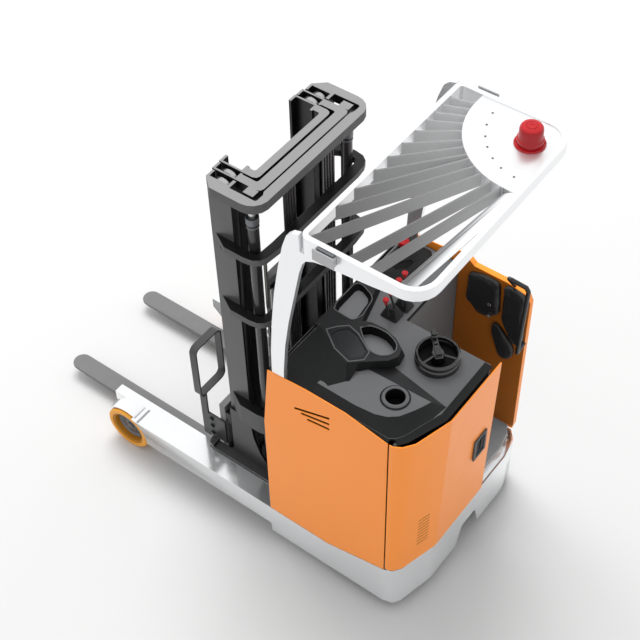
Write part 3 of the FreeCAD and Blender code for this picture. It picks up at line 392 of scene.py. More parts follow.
FINISHES: dict[str, Finish] = {
    item.name: item for item in [
        Finish("orange_paint", (1.0, 0.285, 0.02), 0.36, coat=0.08, worn=(0.7, 0.5, 0.35),
               wear=0.1, shade=0.03, specular=0.4, bounce=(0.3, 0.26, 0.23)),
        Finish("light_paint", (0.92, 0.93, 0.94), 0.14, metallic=0.85, worn=(0.7, 0.7, 0.7),
               wear=0.05, shade=0.015, spread=0.02),
        Finish("mast_paint", (0.056, 0.056, 0.058), 0.38, coat=0.15, worn=(0.3, 0.3, 0.3),
               wear=0.3, dust=0.04),
        Finish("dark_paint", (0.03, 0.03, 0.032), 0.45, worn=(0.2, 0.2, 0.2), wear=0.2, dust=0.04),
        Finish("pale_plastic", (0.108, 0.11, 0.114), 0.55, grain_scale=1400.0,
               grain_height=0.00012, worn=(0.12, 0.12, 0.12), wear=0.2, dust=0.03, specular=0.4),
        # dark_slope also paints shade on the console's slopes that face away from the light.
        Finish("dark_slope", (0.006, 0.0065, 0.007), 0.5, grain_scale=1400.0, grain_height=0.00012,
               worn=(0.06, 0.06, 0.06), wear=0.3, specular=0.25),
        # deep_plastic is also black painted shade on the console's recess walls and in the cup
        # holder's well.
        Finish("deep_plastic", (0.004, 0.004, 0.004), 0.5, specular=0.15),
        Finish("gloss_plastic", (0.006, 0.006, 0.0065), 0.14, coat=0.8),
        # The slat greys lighten towards the far side as painted reflection: darker near slats,
        # lighter far ones.
        Finish("slat_grey", (0.2, 0.2, 0.2), 0.4, shade=0.02, shading_far_colour=(0.62, 0.625, 0.63)),
        Finish("slat_edge", (0.1, 0.1, 0.1), 0.45, shade=0.02, specular=0.3,
               shading_far_colour=(0.28, 0.285, 0.29)),
        # The bent sheet's grey lightens from its front edge to its rear as painted shade across its
        # curve.
        Finish("sheet_grey", (0.16, 0.162, 0.165), 0.4, shade=0.02, shading_far_colour=(0.8, 0.81, 0.82),
               shading_axis="X", shading_span=(-1.052, -1.1)),
        Finish("guard_paint", (0.92, 0.93, 0.94), 0.3, metallic=0.85, worn=(0.7, 0.7, 0.7),
               wear=0.05, shade=0.015, spread=0.02),
        # The head tops take mast_top and their outward sides the darker mast_side; the difference
        # between these two greys is painted shade. mast_side also colours the latch frame.
        Finish("mast_top", (0.205, 0.205, 0.208), 0.42, worn=(0.3, 0.3, 0.3), wear=0.3, dust=0.02),
        Finish("mast_side", (0.062, 0.062, 0.064), 0.6, worn=(0.3, 0.3, 0.3), wear=0.3),
        Finish("pod_plastic", (0.012, 0.0125, 0.0135), 0.42, grain_scale=1400.0,
               grain_height=0.0001, worn=(0.08, 0.08, 0.08), wear=0.3, specular=0.3),
        # A lighter plastic that paints the highlight on the cup holder's rim and the console's
        # lips.
        Finish("rim_highlight_plastic", (0.1, 0.101, 0.105), 0.3),
        Finish("boot_rubber", (0.006, 0.006, 0.0065), 0.35),
        Finish("mat_plastic", (0.17, 0.172, 0.178), 0.6, grain_scale=900.0, grain_height=0.0001),
        Finish("orange_shade", (0.42, 0.12, 0.008), 0.45, specular=0.3, bounce=(0.2, 0.17, 0.15)),
        # Black that is painted shade on the hidden faces of the mast and the carriages; the
        # free-lift rod takes it too.
        Finish("mast_black", (0.006, 0.006, 0.0065), 0.35, specular=0.35),
        Finish("backrest_paint", (0.03, 0.03, 0.031), 0.4, worn=(0.1, 0.1, 0.1), wear=0.2,
               dust=0.04),
        Finish("fork_paint", (0.13, 0.13, 0.132), 0.42, worn=(0.3, 0.3, 0.3), wear=0.3, dust=0.04),
        Finish("cylinder_black", (0.02, 0.02, 0.021), 0.22, coat=0.3),
        Finish("mat_grey", (0.33, 0.33, 0.335), 0.7, grain_scale=500.0, grain_height=0.0002),
        Finish("liner_grey", (0.15, 0.152, 0.158), 0.42, grain_scale=1400.0, grain_height=0.0001),
        Finish("roller_steel", (0.5, 0.5, 0.5), 0.25, metallic=0.9),
        Finish("lamp_chrome", (0.42, 0.42, 0.43), 0.2, metallic=0.6),
        Finish("black_plastic", (0.012, 0.012, 0.013), 0.32, grain_scale=1600.0,
               grain_height=0.00004, dust=0.02),
        Finish("black_rubber", (0.014, 0.014, 0.014), 0.62, grain_scale=600.0, grain_height=0.0001,
               dust=0.08),
        Finish("pad_cover", (0.012, 0.012, 0.013), 0.42, grain_scale=520.0, grain_height=0.0003,
               dust=0.02),
        Finish("wheel_orange", (0.78, 0.34, 0.035), 0.42, specular=0.3),
        Finish("wheel_ochre", (0.42, 0.17, 0.008), 0.5, specular=0.3),
        Finish("hub_steel", (0.16, 0.17, 0.185), 0.36, metallic=0.85, worn=(0.4, 0.4, 0.4),
               wear=0.3, dust=0.04),
        Finish("bright_steel", (0.6, 0.61, 0.62), 0.22, metallic=1.0, spread=0.1),
        Finish("chain_steel", (0.22, 0.215, 0.2), 0.36, metallic=0.9, dust=0.02),
        Finish("red_plastic", (0.38, 0.006, 0.01), 0.3, coat=0.15, shade=0.04, specular=0.3),
        Finish("dark_glass", (0.022, 0.024, 0.026), 0.2, grain_height=0.0, specular=0.3),
        Finish("battery_paint", (0.05, 0.055, 0.06), 0.5, dust=0.1),
    ]
}


class Palette:
    """Makes every material once and hands it out by name."""

    def __init__(self) -> None:
        """Starts with the shared groups and no material."""
        self.effects = EffectLibrary()
        self.made: dict[str, bpy.types.Material] = {}

    def get(self, name: str) -> bpy.types.Material:
        """Gives a finish's material, and makes it on first use."""
        if name not in self.made:
            self.made[name] = FINISHES[name].material(self.effects)
        return self.made[name]


# Mesh helpers


def make_object(name: str, mesh: bpy.types.Mesh, body: str,
                material: bpy.types.Material) -> bpy.types.Object:
    """Links a mesh as a piece that rides on a body.

    Args:
        name: the piece's name.
        mesh: its mesh, in place.
        body: the CAD body that it moves with.
        material: its material, unless the mesh has its own.

    Returns:
        The piece.
    """
    piece = linked(name, mesh)
    if not mesh.materials:
        mesh.materials.append(material)
    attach(piece, body)
    LOG.info("%s rides on %s with %d faces", name, body, len(mesh.polygons))
    return piece


def smooth(mesh: bpy.types.Mesh, degrees: float = SHARP_DEGREES) -> None:
    """Shades a mesh smooth with its sharp edges kept."""
    mesh.shade_smooth()
    mesh.set_sharp_from_angle(angle=math.radians(degrees))


def bevelled(piece: bpy.types.Object, width: float) -> None:
    """Adds a live bevel to the sharp edges of a piece.

    Args:
        piece: the piece.
        width: the bevel's width in metres.
    """
    bevel = piece.modifiers.new("rounding", "BEVEL")
    bevel.width = width
    bevel.segments = 2
    bevel.limit_method = "ANGLE"
    bevel.angle_limit = math.radians(30.0)
    bevel.harden_normals = True
    bevel.use_clamp_overlap = True


def from_cad(node: str, name: str, materials: list[bpy.types.Material], width: float,
             rule: Rule | None = None) -> None:
    """Makes a rounded copy of a CAD node that stands for it.

    Args:
        node: the CAD node.
        name: the new piece's name.
        materials: the copy's materials by index.
        width: the rounding's width in metres.
        rule: gives the material's index from a face's centre in millimetres and its normal.
    """
    source = frame["nodes"][node]
    mesh = source.data.copy()
    mesh.materials.clear()
    work = bmesh.new()
    work.from_mesh(mesh)
    bmesh.ops.remove_doubles(work, verts=work.verts, dist=0.00002)
    for face in work.faces:
        face.material_index = rule(face.calc_center_median() * 1000.0, face.normal) if rule else 0
    bmesh.ops.dissolve_limit(work, angle_limit=math.radians(1.0), verts=work.verts,
                             edges=work.edges, delimit={"MATERIAL"})
    work.to_mesh(mesh)
    work.free()
    for paint in materials:
        mesh.materials.append(paint)
    smooth(mesh, 30.0)
    piece = make_object(name, mesh, body_of(node), materials[0])
    bevelled(piece, width)
    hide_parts(node)


def dress(node: str, material: bpy.types.Material) -> None:
    """Gives a CAD node a better material.

    Args:
        node: the node's name.
        material: the material.
    """
    piece = frame["nodes"][node]
    if not piece.material_slots:
        piece.data.materials.append(material)
    for place in piece.material_slots:
        place.material = material


def rounded_plan(points: list[Plan], radius: float, steps: int = 5) -> list[Plan]:
    """Rounds the corners of a plan."""
    path = [(x, y, 0.0) for x, y in [points[-1], *points, points[0]]]
    return [(x, y) for x, y, _ in arc_path(path, radius, steps)[1:-1]]


def polar(x: float, y: float, radius: float, degrees: float) -> Plan:
    """Finds the point at a distance and a bearing from a centre in plan."""
    turn = math.radians(degrees)
    return x + radius * math.cos(turn), y + radius * math.sin(turn)


def circle(x: float, y: float, radius: float, steps: int = 32) -> list[Plan]:
    """Gives the points of a circle in plan."""
    turns = [math.tau * step / steps for step in range(steps)]
    return [(x + radius * math.cos(turn), y + radius * math.sin(turn)) for turn in turns]


def soft_box(x0: float, x1: float, y0: float, y1: float, radius: float,
             steps: int = 5) -> list[Plan]:
    """Gives the points of a rectangle with round corners in plan.

    Args:
        x0: lowest x in millimetres.
        x1: highest x in millimetres.
        y0: lowest y in millimetres.
        y1: highest y in millimetres.
        radius: the corners' radius in millimetres.
        steps: the steps of each corner.

    Returns:
        The points, anticlockwise.
    """
    points = []
    for x, y, start in [(x1 - radius, y1 - radius, 0.0), (x0 + radius, y1 - radius, 90.0),
                        (x0 + radius, y0 + radius, 180.0), (x1 - radius, y0 + radius, 270.0)]:
        points += [polar(x, y, radius, start + 90.0 * step / steps) for step in range(steps + 1)]
    return points


class Shape:
    """Collects closed solids in one mesh, in millimetres."""

    def __init__(self) -> None:
        """Starts empty."""
        self.work = bmesh.new()
        self.index = 0

    def ink(self, index: int) -> "Shape":
        """Sets the material index of what comes next, and gives the shape back."""
        self.index = index
        return self

    def skin(self, rings: list[list[Vector]], closed: bool = False) -> None:
        """Joins rings of as many points each, and caps both ends unless closed.

        Args:
            rings: the rings, in order along the solid.
            closed: whether the last ring joins the first.
        """
        made = [[self.work.verts.new(point) for point in ring] for ring in rings]
        count = len(made[0])
        pairs = list(zip(made, made[1:] + (made[:1] if closed else [])))
        faces = []
        for low, high in pairs:
            for step in range(count):
                after = (step + 1) % count
                faces.append(self.work.faces.new((low[step], low[after], high[after], high[step])))
        if not closed:
            faces.append(self.work.faces.new(made[0][::-1]))
            faces.append(self.work.faces.new(made[-1]))
        for face in faces:
            face.material_index = self.index

    def loft(self, levels: list[tuple[list[Plan], float]]) -> None:
        """Adds a solid through plans at rising or folding heights."""
        self.skin([[mm(x, y, z) for x, y in plan] for plan, z in levels])

    def prism(self, plan: list[Plan], low: float, high: float) -> None:
        """Adds an upright solid on a plan between two heights."""
        self.loft([(plan, low), (plan, high)])

    def block(self, x0: float, x1: float, y0: float, y1: float, z0: float, z1: float) -> None:
        """Adds a block between two corners, whose y may come in either order."""
        y0, y1 = sorted((y0, y1))
        self.prism([(x0, y0), (x1, y0), (x1, y1), (x0, y1)], z0, z1)

    def lathe(self, profile: list[Plan], centre: Point, axis: str = "Z", steps: int = 40) -> None:
        """Adds a turned solid.

        Args:
            profile: radius and height pairs in order; both ends are capped, or the profile closes
                into a ring when its first and last pairs are the same.
            centre: where height 0 lies on the axis.
            axis: X, Y or Z.
            steps: how many sides it has.
        """
        ring_like = profile[0] == profile[-1]
        used = profile[:-1] if ring_like else profile
        rings = []
        for radius, height in used:
            ring = []
            for step in range(steps):
                turn = math.tau * step / steps
                a, b = radius * math.cos(turn), radius * math.sin(turn)
                local = {"X": (height, a, b), "Y": (b, height, a), "Z": (a, b, height)}[axis]
                ring.append(mm(centre[0] + local[0], centre[1] + local[1], centre[2] + local[2]))
            rings.append(ring)
        self.skin(rings, ring_like)

    def tube(self, path: list[Point], radius: float, sides: int = 10) -> None:
        """Adds a round bar along a path.

        Args:
            path: its points in millimetres.
            radius: its radius in millimetres.
            sides: how many sides it has.
        """
        points = [mm(*point) for point in path]
        ways = []
        for index in range(len(points)):
            before = points[max(0, index - 1)]
            after = points[min(len(points) - 1, index + 1)]
            ways.append((after - before).normalized())
        helper = Vector(UP) if abs(ways[0].z) < 0.9 else Vector((1.0, 0.0, 0.0))
        side = ways[0].cross(helper).normalized()
        rings = []
        for point, way in zip(points, ways):
            side = (side - way * side.dot(way)).normalized()
            up = way.cross(side)
            turns = [math.tau * step / sides for step in range(sides)]
            rings.append([point + (side * math.cos(turn) + up * math.sin(turn)) * radius / 1000.0
                          for turn in turns])
        self.skin(rings)

    def mesh(self, name: str, degrees: float = SHARP_DEGREES) -> bpy.types.Mesh:
        """Writes the solids to a mesh with smooth faces and sharp edges.

        Args:
            name: the mesh's name.
            degrees: the angle from which an edge stays sharp.

        Returns:
            The mesh.
        """
        bmesh.ops.recalc_face_normals(self.work, faces=self.work.faces)
        made = bpy.data.meshes.new(name)
        self.work.to_mesh(made)
        self.work.free()
        smooth(made, degrees)
        return made


def arc_path(points: list[Point], radius: float, steps: int = 4) -> list[Point]:
    """Rounds the inner corners of a path.

    Args:
        points: the path's points in millimetres.
        radius: how far from a corner the rounding starts.
        steps: the steps of each corner.

    Returns:
        The rounded path.
    """
    rounded = [points[0]]
    for before, corner, after in zip(points, points[1:], points[2:]):
        a, b, c = Vector(before), Vector(corner), Vector(after)
        start = b + (a - b).normalized() * min(radius, (a - b).length / 2.0)
        end = b + (c - b).normalized() * min(radius, (c - b).length / 2.0)
        for step in range(steps + 1):
            share = step / steps
            low = start.lerp(b, share)
            rounded.append(tuple(low.lerp(b.lerp(end, share), share)))
    return rounded + [points[-1]]


def carved(mesh: bpy.types.Mesh, cutter: bpy.types.Mesh) -> bpy.types.Mesh:
    """Cuts one closed mesh out of another.

    Args:
        mesh: what is cut.
        cutter: what is taken away.

    Returns:
        The cut mesh.
    """
    holder, tool = linked("work_holder", mesh), linked("work_tool", cutter)
    cut = holder.modifiers.new("cut", "BOOLEAN")
    cut.operation = "DIFFERENCE"
    cut.object = tool
    return evaluated(holder, holder, tool)


def joined(name: str, meshes: list[bpy.types.Mesh]) -> bpy.types.Mesh:
    """Puts several meshes into one.

    Args:
        name: the new mesh's name.
        meshes: the meshes.

    Returns:
        The joined mesh.
    """
    work = bmesh.new()
    for mesh in meshes:
        work.from_mesh(mesh)
    made = bpy.data.meshes.new(name)
    work.to_mesh(made)
    work.free()
    smooth(made)
    return made


def add_piece(name: str, mesh: bpy.types.Mesh, body: str, materials: list[bpy.types.Material],
              replaced: list[str] | None = None, width: float = 0.0) -> None:
    """Adds a built mesh as a piece with its materials, roundings and replaced nodes.

    Args:
        name: the piece's name.
        mesh: its mesh.
        body: the body that it rides on.
        materials: its materials by index.
        replaced: CAD nodes that it stands for.
        width: the width of its edge rounding in metres, or 0 for none.
    """
    picked = [polygon.material_index for polygon in mesh.polygons]
    mesh.materials.clear()
    for material in materials:
        mesh.materials.append(material)
    mesh.polygons.foreach_set("material_index", picked)
    piece = make_object(name, mesh, body, materials[0])
    if width > 0.0:
        bevelled(piece, width)
    if replaced:
        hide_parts(*replaced)


class Repeater:
    """Copies a small mesh to many places through one Geometry Nodes group."""

    def __init__(self) -> None:
        """Builds the node group with its named inputs."""
        self.tree = bpy.data.node_groups.new("repeat_parts", "GeometryNodeTree")
        sockets = self.tree.interface
        for name, kind in [("Part", "NodeSocketGeometry"), ("Places", "NodeSocketObject"),
                           ("Spin", "NodeSocketFloat"), ("Seed", "NodeSocketInt"),
                           ("Material", "NodeSocketMaterial")]:
            sockets.new_socket(name, in_out="INPUT", socket_type=kind)
        sockets.new_socket("Parts", in_out="OUTPUT", socket_type="NodeSocketGeometry")
        nodes, links = self.tree.nodes, self.tree.links
        start = nodes.new("NodeGroupInput")
        end = nodes.new("NodeGroupOutput")
        places = nodes.new("GeometryNodeObjectInfo")
        way = nodes.new("GeometryNodeInputNamedAttribute")
        way.data_type = "FLOAT_VECTOR"
        way.inputs["Name"].default_value = "way"
        align = nodes.new("FunctionNodeAlignRotationToVector")
        align.axis = "Z"
        chance = nodes.new("FunctionNodeRandomValue")
        chance.data_type = "FLOAT"
        turn = nodes.new("FunctionNodeAxisAngleToRotation")
        spin = nodes.new("FunctionNodeRotateRotation")
        spin.rotation_space = "LOCAL"
        copies = nodes.new("GeometryNodeInstanceOnPoints")
        real = nodes.new("GeometryNodeRealizeInstances")
        coat = nodes.new("GeometryNodeSetMaterial")
        links.new(start.outputs["Places"], places.inputs["Object"])
        links.new(way.outputs["Attribute"], align.inputs["Vector"])
        float_sockets = [item for item in chance.inputs if item.type == "VALUE"]
        float_sockets[0].default_value = 0.0
        links.new(start.outputs["Spin"], float_sockets[1])
        links.new(start.outputs["Seed"], chance.inputs["Seed"])
        value = next(item for item in chance.outputs if item.type == "VALUE")
        turn.inputs["Axis"].default_value = UP
        links.new(value, turn.inputs["Angle"])
        links.new(align.outputs["Rotation"], spin.inputs["Rotation"])
        links.new(turn.outputs["Rotation"], spin.inputs["Rotate By"])
        links.new(places.outputs["Geometry"], copies.inputs["Points"])
        links.new(start.outputs["Part"], copies.inputs["Instance"])
        links.new(spin.outputs["Rotation"], copies.inputs["Rotation"])
        links.new(copies.outputs["Instances"], real.inputs["Geometry"])
        links.new(real.outputs["Geometry"], coat.inputs["Geometry"])
        links.new(start.outputs["Material"], coat.inputs["Material"])
        links.new(coat.outputs["Geometry"], end.inputs["Parts"])

    def spread(self, name: str, part: bpy.types.Mesh, places: list[tuple[Point, Point]],
               body: str, material: bpy.types.Material, spin: float, seed: int) -> None:
        """Makes one piece from copies of a part.

        Args:
            name: the piece's name.
            part: the part's mesh, standing on the origin with its axis along Z.
            places: where each copy stands in millimetres, and which way its axis points.
            body: the body that the piece rides on.
            material: its material.
            spin: the largest chance turn about a copy's own axis, in radians.
            seed: the seed of the chance turns.
        """
        dots = bpy.data.meshes.new(name + "_places")
        dots.from_pydata([mm(*place) for place, _ in places], [], [])
        ways = dots.attributes.new("way", "FLOAT_VECTOR", "POINT")
        for index, (_, way) in enumerate(places):
            ways.data[index].vector = way
        marks, holder = linked(name + "_places", dots), linked(name + "_holder", part)
        copy = holder.modifiers.new("repeat", "NODES")
        copy.node_group = self.tree
        chosen = {"Places": marks, "Spin": spin, "Seed": seed, "Material": material}
        for item in self.tree.interface.items_tree:
            if item.in_out == "INPUT" and item.name in chosen:
                copy[item.identifier] = chosen[item.name]
        mesh = evaluated(holder, marks, holder)
        smooth(mesh)
        make_object(name, mesh, body, material)


def screw_head(radius: float, height: float) -> bpy.types.Mesh:
    """Makes a socket-head screw's head on the origin.

    Args:
        radius: its radius in millimetres.
        height: its height in millimetres.

    Returns:
        Its mesh.
    """
    shape = Shape()
    inner = radius * 0.45
    shape.lathe([(0.2, 0.4), (inner, 0.4), (inner, height), (radius * 0.8, height),
                 (radius, height * 0.72), (radius, -0.5), (0.2, -0.5)], (0.0, 0.0, 0.0), "Z", 20)
    return shape.mesh("screw")


def hex_head(radius: float, height: float) -> bpy.types.Mesh:
    """Makes a hexagon bolt's head with its washer on the origin.

    Args:
        radius: its radius over corners in millimetres.
        height: its height in millimetres.

    Returns:
        Its mesh.
    """
    shape = Shape()
    shape.lathe([(0.2, -0.5), (radius * 1.3, -0.5), (radius * 1.3, height * 0.2),
                 (0.2, height * 0.2)], (0.0, 0.0, 0.0), "Z", 20)
    shape.lathe([(0.2, height * 0.2), (radius, height * 0.2), (radius, height * 0.85),
                 (radius * 0.8, height), (0.2, height)], (0.0, 0.0, 0.0), "Z", 6)
    return shape.mesh("bolt")


@dataclass
class Maker:
    """What every sub-assembly shares."""

    palette: Palette
    repeater: Repeater

    def paint(self, name: str) -> bpy.types.Material:
        """Hands out one material."""
        return self.palette.get(name)

    def paints(self, *names: str) -> list[bpy.types.Material]:
        """Hands out several materials."""
        return [self.palette.get(name) for name in names]

    def add(self, name: str, shape: Shape, node: str, *finishes: str, width: float = 0.0,
            degrees: float = SHARP_DEGREES, replaces: bool = False) -> None:
        """Adds a shape as a piece that rides with a CAD node."""
        add_piece(name, shape.mesh(name, degrees), body_of(node), self.paints(*finishes),
                  [node] if replaces else None, width)

    def soften(self, node: str, name: str, width: float, *finishes: str,
               rule: Rule | None = None) -> None:
        """Puts a rounded copy in a CAD node's place."""
        from_cad(node, name, self.paints(*finishes), width, rule)

    def repeat(self, name: str, part: bpy.types.Mesh, places: list[tuple[Point, Point]],
               node: str, finish: str, seed: int = 7, spin: float = math.tau) -> None:
        """Spreads copies of a part over a CAD node."""
        self.repeater.spread(name, part, places, body_of(node), self.paint(finish), spin, seed)


# Operator's console


@dataclass
class Console(Maker):
    """The dark moulding with its pod, trays and cup holder."""

    cup: Plan = (-902.0, 309.0)
    hinge: Plan = (-1010.0, 486.0)
    outline: list[Plan] = field(default_factory=lambda: [
        (-403, 493), (-700, 493), (-996, 493), (-1033, 474), (-1056, 442), (-1120, 264),
        (-1122, -78), (-703, -78), (-703, -493), (-403, -493)])
    flat: list[Plan] = field(default_factory=lambda: [
        (-411, 478), (-700, 478), (-984, 478), (-1010, 462), (-1030, 430), (-1088, 255),
        (-1088, -72), (-697, -72), (-697, -484), (-411, -484)])
    plateau_foot: list[Plan] = field(default_factory=lambda: [
        (-600, 477), (-791, 477), (-983, 477), (-1009, 461), (-1029, 430), (-1052, 361),
        (-1074, 295), (-1086, 216), (-764, 160), (-640, 180)])
    plateau_top: list[Plan] = field(default_factory=lambda: [
        (-600, 430), (-791, 433), (-880, 424), (-930, 406), (-966, 376), (-998, 320), (-1018, 275),
        (-1030, 243), (-746, 251), (-640, 260)])
    pod_foot: list[Plan] = field(default_factory=lambda: [
        (-408, 480), (-642, 474), (-706, 386), (-694, 300), (-747, 231), (-789, 195), (-812, 145),
        (-800, 90), (-750, 60), (-679, 44), (-612, 48), (-560, 72), (-512, 106), (-460, 150),
        (-408, 196)])
    pod_rim: list[Plan] = field(default_factory=lambda: [
        (-447, 205), (-596, 282), (-656, 303), (-694, 273), (-736, 238), (-788, 195), (-810, 155),
        (-798, 112), (-746, 80), (-679, 62), (-616, 66), (-569, 86), (-522, 118), (-481, 152),
        (-444, 188)])
    oval: list[Plan] = field(default_factory=lambda: [
        (-592, 118), (-622, 84), (-660, 76), (-701, 76), (-740, 88), (-768, 104), (-784, 133),
        (-775, 168), (-750, 190), (-720, 198), (-690, 194), (-640, 160)])
    oval_floor: list[Plan] = field(default_factory=lambda: [
        (-600, 112), (-628, 88), (-662, 80), (-700, 80), (-734, 92), (-756, 106), (-766, 133),
        (-758, 158), (-740, 174), (-716, 180), (-688, 174), (-642, 148)])
    lens: list[Plan] = field(default_factory=lambda: [
        (-516, 214), (-528, 178), (-559, 148), (-614, 162), (-684, 206), (-690, 240), (-656, 276),
        (-579, 255)])
    lens_frame: list[Plan] = field(default_factory=lambda: [
        (-484, 208), (-512, 170), (-550, 136), (-606, 150), (-700, 204), (-706, 250), (-660, 294),
        (-572, 270)])
    frame_foot: list[Plan] = field(default_factory=lambda: [
        (-405, 196), (-405, -150), (-470, -166), (-510, -158), (-566, 40), (-556, 90), (-480, 180)])
    frame_top: list[Plan] = field(default_factory=lambda: [
        (-410, 192), (-408, -130), (-462, -150), (-498, -142), (-562, 58), (-546, 98), (-476, 176)])
    opening: list[Plan] = field(default_factory=lambda: [
        (-428, 78), (-414, 40), (-414, -84), (-424, -104), (-448, -106), (-508, -82), (-530, -60),
        (-546, 34), (-536, 72), (-520, 84)])
    opening_floor: list[Plan] = field(default_factory=lambda: [
        (-440, 72), (-430, 40), (-430, -76), (-438, -90), (-456, -92), (-498, -74), (-512, -52),
        (-522, 34), (-518, 60), (-508, 72)])

    def cutter(self, levels: list[tuple[list[Plan], float]]) -> bpy.types.Mesh:
        """Makes a tool for a recess with black walls and a pale floor.

        Args:
            levels: the recess's plans with their z.

        Returns:
            The tool's mesh.
        """
        shape = Shape().ink(3)
        shape.loft(levels)
        return shape.mesh("tool")

    def formed(self, index: int, levels: list[tuple[list[Plan], float]],
               *tools: bpy.types.Mesh) -> bpy.types.Mesh:
        """Makes one raised form of the moulding with its recesses.

        Args:
            index: its material index.
            levels: its plans with their z.
            tools: what is cut out of it, in order.

        Returns:
            Its mesh.
        """
        shape = Shape().ink(index)
        shape.loft(levels)
        mesh = shape.mesh("form")
        for tool in tools:
            mesh = carved(mesh, tool)
        return mesh

    def shade(self, mesh: bpy.types.Mesh) -> None:
        """Picks each face's material: light tops, dark slopes, black walls and floors of glass; the
        dark slopes, which face away from the light, and the black recess walls are painted shade.

        Args:
            mesh: the moulding.
        """
        for polygon in mesh.polygons:
            flat, high = polygon.normal.z, polygon.center.z
            if polygon.material_index == 3:
                # Recess walls take black as painted shade.
                polygon.material_index = (2 if high > 1.34 else 1) if flat > 0.9 else 3
            # Slopes that face away from the light, and steep ones, take dark_slope as painted
            # shade.
            elif flat < 0.985:
                away = polygon.normal.x * 0.55 - polygon.normal.y * 0.35 < 0.0
                polygon.material_index = 4 if away or flat < 0.5 else 0
            else:
                polygon.material_index = 0 if high > 1.31 else 1

    def moulding(self) -> None:
        """Builds the closing moulding and everything that is formed in it."""
        ring, pin = circle(*self.cup, 44.0, 40), circle(*self.hinge, 18.5)
        hole = self.cutter([(ring, 1240.0), (ring, 1330.0)])
        pivot = self.cutter([(pin, 1262.0), (pin, 1300.0)])
        parts = [
            self.formed(0, [(self.outline, 1274.5), (self.outline, 1277.0), (self.flat, 1288.0)],
                        hole, pivot),
            self.formed(1, [(self.plateau_foot, 1280.0), (self.plateau_foot, 1288.3),
                            (self.plateau_top, 1308.0)], hole),
            self.formed(0, [(self.pod_foot, 1280.0), (self.pod_foot, 1288.0),
                            (self.pod_rim, 1350.0)],
                        self.cutter([(self.oval_floor, 1300.0), (self.oval, 1352.0)]),
                        self.cutter([(self.lens, 1346.0), (self.lens, 1356.0)])),
            self.formed(0, [(self.frame_foot, 1280.0), (self.frame_foot, 1287.0),
                            (self.frame_top, 1320.0)],
                        self.cutter([(self.opening_floor, 1292.0), (self.opening, 1322.0)])),
        ]
        mesh = joined("console_moulding", parts)
        self.shade(mesh)
        add_piece("console_moulding", mesh, body_of("console"),
                  self.paints("pod_plastic", "pale_plastic", "dark_glass", "deep_plastic",
                              "dark_slope"), ["console"], 0.0028)

    def cup_holder(self) -> None:
        """Builds the cup holder with a painted highlight on its lighter rim and painted shade in
        its black well.
        """
        x, y = self.cup
        holder = Shape()
        holder.lathe([(0.5, 1250.0), (42.5, 1250.0), (42.5, 1288.0), (64.0, 1288.0),
                      (63.0, 1310.0), (56.0, 1313.0), (53.0, 1319.0), (49.0, 1321.0),
                      (44.0, 1320.0), (41.0, 1315.0), (39.5, 1254.0), (0.5, 1254.0)],
                     (x, y, 0.0), "Z", 48)
        mesh = holder.mesh("cup_holder", 50.0)
        for polygon in mesh.polygons:
            away = math.hypot(polygon.center.x * 1000.0 - x, polygon.center.y * 1000.0 - y)
            # The rim takes a lighter plastic as a painted highlight and the well takes black as
            # painted shade.
            rim = 41.0 < away < 57.0 and polygon.center.z > 1.312
            polygon.material_index = 1 if rim else (2 if away < 42.0 else 0)
        add_piece("cup_holder", mesh, body_of("console"),
                  self.paints("dark_slope", "rim_highlight_plastic", "deep_plastic"))

    def trims(self) -> None:
        """Adds the lips round the glass and the trays in a lighter plastic that paints a highlight
        on them, and the trays' mats.
        """
        ring = Shape()
        ring.tube([(x, y, 1350.5) for x, y in self.lens_frame + self.lens_frame[:1]], 3.0, 8)
        for plan, z, radius in [(self.oval, 1350.0, 12.0), (self.opening, 1320.0, 10.0)]:
            ring.tube(arc_path([(x, y, z) for x, y in plan + plan[:2]], radius), 2.6, 8)
        # The lips' lighter plastic is a painted highlight.
        self.add("console_trim", ring, "console", "rim_highlight_plastic", degrees=60.0)
        mat = Shape()
        mat.prism(self.oval_floor, 1299.0, 1301.2)
        mat.prism(self.opening_floor, 1291.0, 1293.0)
        self.add("tray_mats", mat, "console", "mat_plastic")

    def shelf(self) -> None:
        """Adds the dark shelf on the far side of the console."""
        foot = [(-420, -230), (-500, -215), (-560, -260), (-600, -300), (-600, -430), (-560, -470),
                (-420, -470)]
        top = [(-440, -250), (-494, -238), (-548, -275), (-580, -310), (-580, -415), (-548, -448),
               (-440, -448)]
        groove = [(-462, -290), (-500, -276), (-540, -315), (-540, -360), (-520, -366)]
        mesh = self.formed(0, [(foot, 1284.0), (foot, 1292.0), (top, 1300.0)],
                           self.cutter([(groove, 1296.0), (groove, 1310.0)]))
        add_piece("far_shelf", mesh, body_of("console"),
                  self.paints("dark_slope", "pale_plastic", "dark_glass", "deep_plastic"), None,
                  0.003)

    def build(self) -> None:
        """Builds the console."""
        self.moulding()
        self.cup_holder()
        self.trims()
        self.shelf()


